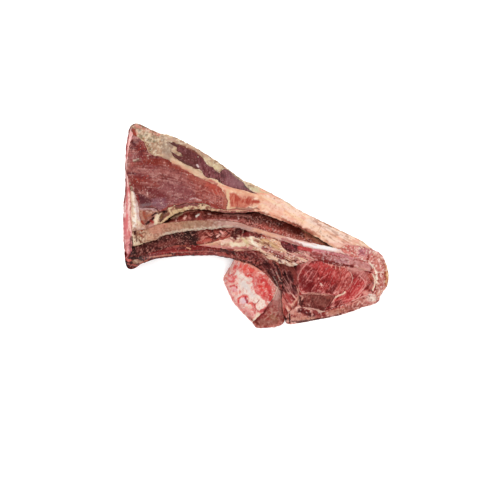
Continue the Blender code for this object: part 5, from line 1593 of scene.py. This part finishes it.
@painter
def paint_back_strip(coat):
    """Strip along the lower edge: pale knots and dark lean at the left, orange tan fat, pink to the right."""
    x, y = coat.x, coat.y
    out = seam_distance(x, y, ["back_edge"])
    coat.ground(0.5 * coat.noise(2.6) + 0.3 * coat.noise(8) + 0.3 * coat.fibres(12, 12, 2),
                ["88483E", "B27062", "CC8E80", "ECBEB0"], 1.2)
    coat.marks(
        ((66, -136, 76, -133, 88, -137, 106, -139), 3, "EEC2B2", 0.9, 0.5),
        ((92, -148, 106, -150), 6, "9C5248", 0.6, -0.2, 0.7, 1.3),
        ((72, -140, 84, -143, 94, -148), 9, "561A1C", 0.9, -0.7, 0.7, 0.8, 0.3),
        ((80, -140, 88, -141), 4, "7A2C2A", 0.7, 0, 0.7, 0.8, 0.3),
        ((96, -142, 106, -144, 114, -146), 8, "842824", 0.85, -0.4, 0.7, 0.8, 0.3),
        ((92, -139, 94, -149), 2, "D8A090", 0.8, 0.4),
        ((102, -139, 106, -142, 112, -140), 4, "DCC0AE", 0.85, 0.5),
        ((60, -142, 72, -148, 86, -153), 5, "D49A88", 0.8, 0.2),
        ((52, -148, 58, -144, 64, -139), 5, "E0AC9C", 0.8, 0.4),
        ((60, -153, 76, -154, 96, -152), 4, "CC9A84", 0.7),
        ((112, -138, 124, -138, 138, -134), 4, "9A3A34", 0.8, -0.3),
        ((116, -144, 132, -141, 150, -137), 6, "C89078", 0.7, 0, 0.7, 1.2),
        ((126, -146, 140, -143), 3, "D8A48C", 0.6), ((140, -134, 152, -130, 164, -126), 3, "D87C70", 0.7),
        ((150, -136, 162, -131, 176, -127), 7, "9A5648", 0.7, -0.2, 0.7, 1.3),
        ((168, -127, 178, -124, 188, -119), 7, "C8877A", 0.7, 0, 0.7, 1.2))
    for line in [[(159, -134), (161, -127), (168, -123)], [(168, -130), (172, -124)],
                 [(176, -128), (182, -121)], [(160, -123), (176, -117), (188, -112)]]:
        coat.mark(line, 1.7, "F0B8A8", 0.8, 0.4)
    coat.marks(
        ((184, -126, 194, -124), 5, "D08A80", 0.7),
        ((188, -117, 194, -121), 10, "F8E2D2", 0.95, 0, 0.7, 1.1),
        ((186, -114, 184, -122), 3, "EEBEB0", 0.7))

    # painted shade along the bottom edge, then the dark slit and the notch
    line = step(-out, -2.6, -1.0) * step(x, 62, 76) * step(-x, -150, -130)
    coat.lay((0.8 - 0.35 * step(x, 96, 108)) * line, "4E342C", -0.4)
    coat.marks(
        ((56, -146, 56.5, -160), 2.4, "2C1C1A", 0.95, -1.6, 0.4),
        ((49, -154, 46, -157), 5, "160C0C", 0.95, -2), ((60, -158, 72, -158, 84, -156), 2.4, "6E6058", 0.7))
    coat.specks(2.2, 0.08, "7C3A32", 0.7, -0.6)
    coat.specks(2.2, 0.08, "F2CABC", 0.6, 0.4)


@painter
def paint_spine_foot(coat):
    """Brown facet beside the chine: grey tan strip at the top, olive patch, dark red spots, a dark slit."""
    coat.ground(0.45 * coat.noise(3) + 0.35 * coat.noise(9) + 0.25 * coat.fibres(75, 9, 2),
                ["74372F", "8E4F48", "A0645A", "BC8A7C"], 1.2)
    coat.marks(
        ((35, -101, 38, -110, 34, -122), 9, "B89A90", 0.8, 0.2, 0.7, 1.2),
        ((40, -122, 40, -136, 41, -148), 6, "B0786E", 0.6, 0.2, 0.7, 1.3),
        ((36, -102, 32, -114, 26, -124), 2.4, "E0BEAA", 0.85, 0.5),
        ((40, -106, 42, -122, 43, -134), 2.4, "D4A496", 0.6, 0.4, 1.1),
        ((33, -126, 36, -138), 6, "96645E", 0.6),
        ((27, -126, 14, -141, 5, -154), 9, "8A3A3C", 0.8, -0.3, 1.1, 1.1),
        ((20, -136, 8, -150, 1, -158), 1.8, "6A2A2A", 0.7, -0.4),
        ((28, -152, 34, -156), 8, "90785A", 0.65, 0, 0.7, 1.2),
        ((12, -158, 22, -150, 30, -144), 2, "C09080", 0.6, 0.3),
        ((12, -162, 34, -162), 9, "705448", 0.8, 0, 0.7, 1.2),
        ((24, -130, 34, -128, 40, -132), 7, "B8847A", 0.6, 0.2, 0.7, 1.3),
        ((4, -162, 8, -166), 4, "6E4A3E", 0.7))
    for spot in [(25, -145), (23, -143), (36, -142), (31, -147)]:
        coat.mark([spot], 3.2, "7A1818", 0.85, -0.5, wet=0.2)
    coat.mark((0, -158, 4, -164), 3, "3C2018", 0.8, -0.8)
    coat.specks(2.2, 0.08, "C89A8C", 0.6, 0.4)
    coat.specks(2.2, 0.08, "6A2C2A", 0.6, -0.5)


@painter
def paint_chine_bone(coat):
    """Sawn spongy bone: chalky middle, red marrow above and to the right, pink cells along the left rim."""
    x, y = coat.x, coat.y
    coat.ground(0.45 * coat.noise(6) + 0.55 * coat.noise(2.4),
                ["D0706A", "E2958C", "EEAFA2", "F8D2C8"], 1.0)
    rim = seam_distance(x, y, ["chine_edge"])
    coat.lay(0.5 * step(-rim, -14, -5), "F0BEB2")
    coat.lay(0.6 * step(-rim, -2.6, -0.6), "E0AAA2")
    coat.patch((-32, -74, -24, -80, -15, -84, -3, -85, -2, -95, -8, -105, -2, -109, 8, -114, 19, -121, 20,
               -130, 9, -141, 2, -139, -2, -128, -14, -117, -25, -111, -28, -100, -30, -88), "F4DACC",
               0.95, 0.5, 0, 4, 4, 5)
    coat.patch((-26, -88, -12, -90, -10, -104, -22, -104), "E6DAD0", 0.7, 0.2, 0, 5, 3)
    coat.mark((-22, -96, -14, -104, -4, -116), 6, "D2CECC", 0.6, soft=1.4)
    coat.specks(2.2, 0.16, "F8E8DE", 0.6, 0.3)
    coat.specks(3.0, 0.2, "DCB0A4", 0.6, -0.3)

    # red marrow, brightest near the top
    coat.patch((-26, -62, -12, -62, 2, -72, 0, -84, -14, -84, -24, -74), "DE5A50", 0.9, -0.5, 0.2, 4, 4)
    coat.marks(
        ((-18, -66, -14, -70), 10, "EA6A5C", 0.75, -0.2, 0.7, 1.2, 0.2),
        ((-15, -79, -5, -81), 7, "B43C38", 0.85, -0.6, 0.7, 0.8, 0.2),
        ((-28, -57, -16, -61, -4, -67, 8, -76), 5, "E8A08A", 0.85, 0.6),
        ((-2, -76, 8, -84), 6, "D8705E", 0.7))
    coat.patch((2, -88, 12, -84, 22, -94, 28, -108, 24, -124, 14, -118, 6, -110, 2, -98), "BE4644", 0.9,
               -0.5, 0.2, 4, 4)
    coat.marks(
        ((12, -91, 17, -97), 7, "B43A3A", 0.7, -0.4, 0.7, 0.8, 0.2),
        ((-4, -84, -3, -98, 2, -110, 14, -119, 24, -125), 6, "C03436", 0.75, -0.4, 1.1, 0.8, 0.2),
        ((8, -101, 18, -104), 9, "DE4E46", 0.75, -0.2, 0.7, 1.2, 0.2),
        ((20, -112, 26, -120), 9, "B43A38", 0.8, -0.5), ((16, -106, 20, -110), 5, "EC9488", 0.6, 0.2),
        ((-2, -100, 4, -106), 5, "EE9C94", 0.8), ((1, -86, 5, -94, 0, -102), 5, "C0605A", 0.7),
        ((16, -84, 26, -96, 31, -108), 5, "C8786A", 0.75, 0.2, 1.1),
        ((14, -118, 20, -118), 2.4, "8A3030", 0.7))

    # cells at the left rim
    coat.marks(
        ((-34, -66, -36, -72), 5, "CC4A48", 0.8, -0.5), ((-35, -78, -40, -82), 3, "9C3034", 0.85, -0.6),
        ((-44, -80, -48, -86, -47, -94), 3, "A85458", 0.7), ((-41, -88), 12, "D0585A", 0.85, -0.4),
        ((-41, -88), 7.5, "F2B4AE", 0.9, 0.3),
        ((-42, -98, -38, -98, -33, -95, -30, -88), 4, "F6BEB0", 0.8, 0.3),
        ((-42, -101, -36, -99, -31, -103), 3, "C0484C", 0.85, -0.4), ((-35, -106), 9, "E8A8AA", 0.85, 0.2),
        ((-37, -112, -30, -112), 3, "F0B0A0", 0.7),
        ((-28, -130, -29, -121, -22, -117, -15, -118), 3.4, "D45A54", 0.9, -0.5),
        ((-20, -126), 10, "E2C8CC", 0.9, 0.3), ((-17, -120, -14, -127), 4, "8A3846", 0.9, -0.8),
        ((-12, -130, -6, -128, -5, -134), 3, "DC6A62", 0.8, -0.3),
        ((-16, -133, -8, -136), 5, "F4D2C2", 0.8, 0.3), ((-18, -140, -6, -148), 6, "E49A96", 0.7),
        ((-4, -138, -1, -146), 3, "B04A4C", 0.7, -0.5),
        ((-52, -88, -46, -106, -34, -128, -18, -146), 2.6, "B88080", 0.6))

    # lower right: cracks, a purple wedge and a cream foot
    coat.marks(
        ((-2, -132, 3, -127, 6, -124), 1.6, "6A4038", 0.8, -0.8),
        ((-4, -130, 0, -138, 4, -142), 2.4, "9C3C3E", 0.8, -0.6))
    coat.patch((6, -142, 20, -132, 28, -124, 26, -132, 8, -152, 4, -158, 2, -150), "8A3C42", 0.85, -0.8,
               0.2, 3, 2)
    coat.marks(
        ((4, -148, -1, -159), 8, "F4DCC6", 0.9, 0.4), ((18, -128, 22, -133), 5, "C0685E", 0.7, -0.2),
        ((2, -156, 12, -148), 1.8, "5A2024", 0.7, -0.5))
    spongy = step(-coat.tint[:, 1], -0.62, -0.45)
    coat.specks(3.6, 0.26, "EFA294", 0.55, 0.2, within=spongy)
    coat.specks(2.6, 0.16, "B84A46", 0.45, -0.4, within=spongy)
    coat.specks(2.0, 0.06, "FBE4DA", 0.5, 0.3)


# Pieces

BELLY_SEAMS = ["belly_fat", "belly_flank", "belly_band", "belly_heel", "belly_meat", "belly_rib"]
EYE_SEAMS = ["pad_eye", "eye_cap_seam", "eye_crescent", "eye_lower", "eye_deep"]

# Each piece: its seams in order, its top, its slot, its grain direction, and the depth of its rounded rim
PIECES = {
    "belly_end": ([*BELLY_SEAMS, "belly_edge"], sloping_top(BELLY_SEAMS, ["belly_edge"], -0.5, 32, 1.3),
                  "pink_trim", 92, 0.4),
    "fat_cover": (["skin_edge", "patch_edge", "fat_edge", "cover_rim", "band_cover", "crease_cover",
                   "fringe_cover", "flank_top", "belly_fat"], cover_top, "peach_fat", -27, 0.9),
    "flank_muscle": (["flank_top", "flank_fringe", "flank_corner", "belly_flank"], flat_top(0),
                     "red_lean", -12, 0.7),
    "corner_fat": (["flank_corner", "corner_side", "corner_base", "belly_band"], flat_top(-1.5),
                   "cream_fat", 95, 0.5),
    "fringe_fat": (["flank_fringe", "fringe_cover", "fringe_crease", "corner_fringe", "corner_side"],
                   flat_top(-1), "cream_fat", 15, 1.0),
    "crease_meat": (["fringe_crease", "crease_cover", "crease_band"],
                    sloping_top(["crease_band"], ["fringe_crease", "crease_cover"], -6, 12),
                    "dark_lean", -10, 0.3),
    "pale_band": (["corner_base", "corner_fringe", "crease_band", "band_cover", "band_rim", "band_cap",
                   "band_pad", "band_meat", "belly_heel"], flat_top(0.5), "pale_band", -8, 1.4),
    "rib_meat": (["band_meat", "meat_pad", "rib_meat_seam", "belly_meat"], flat_top(-5),
                 "dark_lean", 12, 0.3),
    "fat_pad": (["band_pad", "pad_cap", "pad_eye", "pad_deep", "rib_pad_seam", "meat_pad"],
                sloping_top(["band_pad", "pad_cap", "pad_eye"], ["rib_pad_seam", "pad_deep"], 0.5, 5),
                "cream_fat", -24, 0.8),
    "cap_meat": (["band_cap", "cap_rim", "cap_crescent", "eye_cap_seam", "pad_cap"], flat_top(0),
                 "pink_lean", -13, 0.8),
    "rim_meat": (["cover_rim", "rim_edge", "knob_rim", "crescent_rim", "cap_rim", "band_rim"],
                 rim_top, "pink_lean", -45, 0.6),
    "rib_bone": (["rib_meat_seam", "rib_pad_seam", "rib_deep", "rib_foot", "rib_chine", "arc_edge",
                  "belly_rib"],
                 sloping_top(["rib_meat_seam", "rib_pad_seam", "rib_deep"],
                             ["arc_edge", "rib_chine"], -4, 18), "rib_inside", 5, 1.2),
    "deep_meat": (["pad_deep", "eye_deep", "lower_deep", "back_deep", "foot_deep", "rib_deep"],
                  sloping_top(["lower_deep", "back_deep"], ["pad_deep"], -4, 10), "dark_lean", -58, 0.3),
    "eye_muscle": (EYE_SEAMS, domed_top(EYE_SEAMS, 2.5, 22), "red_lean", 57, 0.6),
    "eye_crescent": (["cap_crescent", "crescent_rim", "crescent_back", "lower_crescent", "eye_crescent"],
                     flat_top(0.5), "red_lean", 48, 0.7),
    "lower_muscle": (["eye_lower", "lower_crescent", "lower_back", "lower_deep"], flat_top(-0.5),
                     "brown_lean", 10, 0.7),
    "back_strip": (["lower_back", "crescent_back", "knob_rim", "back_edge", "back_deep"],
                   back_top, "peach_fat", 12, 0.5),
    "spine_foot": (["rib_foot", "foot_deep", "foot_edge", "foot_chine"],
                   sloping_top(["rib_foot"], ["foot_edge"], -16, 22), "brown_lean", 75, 0.8),
    "chine_bone": (["rib_chine", "foot_chine", "chine_edge"],
                   sloping_top(["rib_chine", "foot_chine"], ["chine_edge"], -22, 22, 1.1),
                   "sawn_bone", 60, 0.5),
}

# Torn outline of the sheet of skin muscle: two fingers at the left, notches along both sides
TORN_SHEET = [(-145, 140), (-140, 138.5), (-136, 140.5), (-132, 136.5), (-126, 136), (-118, 133),
              (-110, 129), (-102, 126), (-95, 120), (-88, 114), (-84, 108), (-80, 102), (-76, 99),
              (-71, 98), (-67, 92), (-60, 88), (-56, 93), (-52, 95), (-48, 94), (-42, 90), (-34, 82),
              (-27, 77), (-20, 73), (-17, 67), (-10, 60), (-4, 56), (3, 53), (-5, 54), (-20, 59), (-35, 62),
              (-45, 65), (-55, 69), (-63, 74), (-68, 77), (-74, 79), (-79, 79), (-84, 82), (-87, 86),
              (-89, 91), (-93, 94), (-99, 94), (-106, 98), (-114, 101), (-121, 105), (-127, 108),
              (-133, 113), (-137, 116), (-139, 121), (-143, 124.5), (-136, 121), (-128, 116), (-121, 115),
              (-124, 121), (-128, 123), (-131, 124), (-131, 131), (-136, 133), (-141, 136)]

# Colours of the outside walls, from dark to light, for the pieces that have them
SIDES = {
    "belly_end": ["C0686A", "DE9A98", "F2C8C2"],
    "fat_cover": ["AE8C70", "CDAE92", "E2CAB0"],
    "rim_meat": ["96584C", "BE8474", "D8AE98"],
    "rib_bone": ["4E1E1C", "7A3E3A", "A87872"],
    "deep_meat": ["2C1010", "4E2220", "6E3C38"],
    "back_strip": ["7A4438", "A87060", "CC9C88"],
    "spine_foot": ["6E3C34", "925A50", "B08474"],
    "chine_bone": ["A8585A", "CC8280", "E6B4AC"],
}


def outer_pull(x, y, z, t, seed):
    """How far an outside wall point, a share t of the way down, draws in: lumpy, and rounded below."""
    outer = step(-seam_distance(x, y, OUTER), -4.0, -3.0)
    p = np.stack([x, y, z], axis=1)
    broad, small = noise(p, LUMPS[0], seed, 2), noise(p * np.array([1, 1, 0.5]), DENTS[0], seed + 5, 2)
    lumps = LUMPS[1] * broad + DENTS[1] * small
    between = np.minimum(1, 6 * t * (1 - t))
    return outer * ((lumps - LUMP_MIDDLE) * between + UNDERCUT * t ** 5)


def side_tint(name, points, rim_tint, down, seed):
    """Outside walls: the rim's own tint for the first millimetres, then the colours of the dried outside."""
    streaks = (0.55 * noise(points * np.array([1, 1, 0.35]), 5, seed, 3)
               + 0.45 * noise(points, 16, seed + 9, 2))
    outside = ramp(even(streaks), SIDES[name])
    reach = down - RIM_PAINT * noise(points, 6, seed + 17, 2)
    share = DRIED_SHARE * step(reach, 0, RIM_PAINT)[:, None]
    return rim_tint * (1 - share) + outside * share


def deepened(tint, depth, contrast):
    """What the surface reflects: the paint spread about its mean, each channel raised to its power."""
    light = np.log(np.clip(tint, DARKEST, 1))
    middle = light.mean(axis=0)
    return np.exp(np.minimum((middle + contrast * (light - middle)) * np.array(depth), 0)) * TINT_SHARE


def make_piece(name, ring, top, floor, slot, degrees, rim_drop):
    """One piece: a closed body with a painted top skin, a bottom skin of the same paint, and walls."""
    seed = 1000 + 37 * list(PAINT).index(name)
    x, y, quads, rims, edge = snapped_grid(ring, CELLS.get(name, CELL))
    coat = Coat(x, y, edge, seed)
    PAINT[name](coat)
    tint = deepened(coat.tint, *TONES[name])
    inner = step(edge, 0, RELIEF_START)
    rim_drop = rim_drop * step(seam_distance(x, y, FLUSH), 1, 6)
    z_top = top(x, y) + coat.rise * inner - rim_drop * (1 - np.clip(edge / RIM_ROUND, 0, 1)) ** 2
    z_low = floor(x, y) + UNDERSIDE_SHARE * np.maximum(-coat.rise, 0) * inner
    count = len(x)
    nx, ny = rim_normals(x, y, rims)
    rim = np.unique(rims)
    place = np.full(count, -1)
    place[rim] = np.arange(len(rim))
    shows = name in SIDES
    rows = OUTER_ROWS if shows else INNER_ROWS
    layers = [np.stack([x, y, z_top], axis=1), np.stack([x, y, z_low], axis=1)]
    tints = [tint, tint]
    moist = [coat.wet, coat.wet]
    levels = [rim]
    for row in range(1, rows + 1):
        t = row / rows
        z = z_top[rim] + (z_low[rim] - z_top[rim]) * t
        pull = outer_pull(x[rim], y[rim], z, t, seed) if shows else 0.0 * z
        level = np.stack([x[rim] - nx[rim] * pull, y[rim] - ny[rim] * pull, z], axis=1)
        if row == rows:
            layers[1][rim] = level
            levels.append(count + rim)
        else:
            layers.append(level)
            levels.append(2 * count + (row - 1) * len(rim) + np.arange(len(rim)))
            tints.append(side_tint(name, level, tint[rim] / TINT_SHARE, z_top[rim] - z, seed) * TINT_SHARE
                         if shows else tint[rim])
            moist.append(coat.wet[rim])
    points = np.vstack(layers)
    faces = np.vstack([quads, quads[:, ::-1] + count, walls_between(rims, place, levels)])
    grain = turned(points, degrees, FIBRE_LENGTH, 1.0)
    grain[:, 2] = points[:, 2]
    mesh = make_mesh(name, points, faces, np.vstack(tints), grain, np.concatenate(moist))
    mesh.materials.append(MATERIALS[slot])
    piece = bpy.data.objects.new(name + "_flesh", mesh)
    bpy.context.scene.collection.objects.link(piece)
    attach(piece, "root")
    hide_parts(name)
    return piece


def on_table(x, y):
    """The resting face."""
    return np.zeros(np.shape(x))


for piece_name, (seam_names, piece_top, slot_name, lie, drop) in PIECES.items():
    make_piece(piece_name, outline(seam_names), piece_top, on_table, slot_name, lie, drop)
make_piece("skin_muscle", bulged(np.array(TORN_SHEET, float)[::-1]), lambda x, y: cover_top(x, y) + 0.7,
           lambda x, y: cover_top(x, y) - SKIN_MUSCLE_THICKNESS, "skin_muscle", 97, 0.5)


# Floor, light and camera

CAMERA_HEIGHT = 3.2         # metres from the resting face, as far as a long lens stands back
VIEW_WIDTH = 0.825          # metres across the picture at the cut face
CUT_FACE = 0.051
PHOTO_CENTRE = (-0.0093, -0.0234)
SENSOR = 36.0
FLOOR_GAP = 0.0003          # the floor stays just clear of the resting face, so the two don't flicker
FLOOR_SIDE = 6.0
LAMP_SIDE = 1.5
LAMP_AIM = (0.0, 0.0, 0.02)
ROOM_LIGHT = 0.5            # strength of the white room all round

# Each soft lamp: where it hangs and its power in watts
LAMPS = {
    "top_bank": ((-0.3, 1.9, 1.5), 50),
    "left_bank": ((-2.0, 0.2, 1.3), 27),
    "right_bank": ((1.9, -0.5, 1.4), 27),
    "low_bank": ((0.3, -2.0, 1.4), 24),
}


def make_floor():
    """A plain pale floor."""
    bpy.ops.mesh.primitive_plane_add(size=FLOOR_SIDE, location=(0, 0, -FLOOR_GAP))
    floor = bpy.context.object
    floor.name = "floor"
    material = bpy.data.materials.new("matt_white_card")
    material.use_nodes = True
    shader = material.node_tree.nodes["Principled BSDF"]
    shader.inputs["Base Color"].default_value = (0.95, 0.95, 0.95, 1.0)
    shader.inputs["Roughness"].default_value = 0.9
    shader.inputs["Emission Color"].default_value = (1.0, 1.0, 1.0, 1.0)
    shader.inputs["Emission Strength"].default_value = 0.25
    floor.data.materials.append(material)


def make_light(name, place, power):
    """A soft square lamp that looks at the steak."""
    lamp = bpy.data.lights.new(name, "AREA")
    lamp.size = LAMP_SIDE
    lamp.energy = power
    made = bpy.data.objects.new(name, lamp)
    bpy.context.scene.collection.objects.link(made)
    made.location = place
    made.rotation_mode = "QUATERNION"
    direction = np.array(LAMP_AIM) - np.array(place)
    made.rotation_quaternion = Vector(direction).to_track_quat("-Z", "Y")


def make_camera():
    """Straight above the cut face, on a long lens."""
    camera = bpy.data.cameras.new("camera")
    camera.sensor_width = SENSOR
    camera.lens = SENSOR * (CAMERA_HEIGHT - CUT_FACE) / VIEW_WIDTH
    made = bpy.data.objects.new("camera", camera)
    bpy.context.scene.collection.objects.link(made)
    made.location = (*PHOTO_CENTRE, CAMERA_HEIGHT)
    bpy.context.scene.camera = made


make_floor()
for lamp_name, (lamp_place, lamp_power) in LAMPS.items():
    make_light(lamp_name, lamp_place, lamp_power)
make_camera()
world = bpy.data.worlds.new("white_room")
bpy.context.scene.world = world
world.use_nodes = True
world.node_tree.nodes["Background"].inputs["Color"].default_value = (1, 1, 1, 1)
world.node_tree.nodes["Background"].inputs["Strength"].default_value = ROOM_LIGHT
bpy.context.scene.view_settings.view_transform = "Standard"
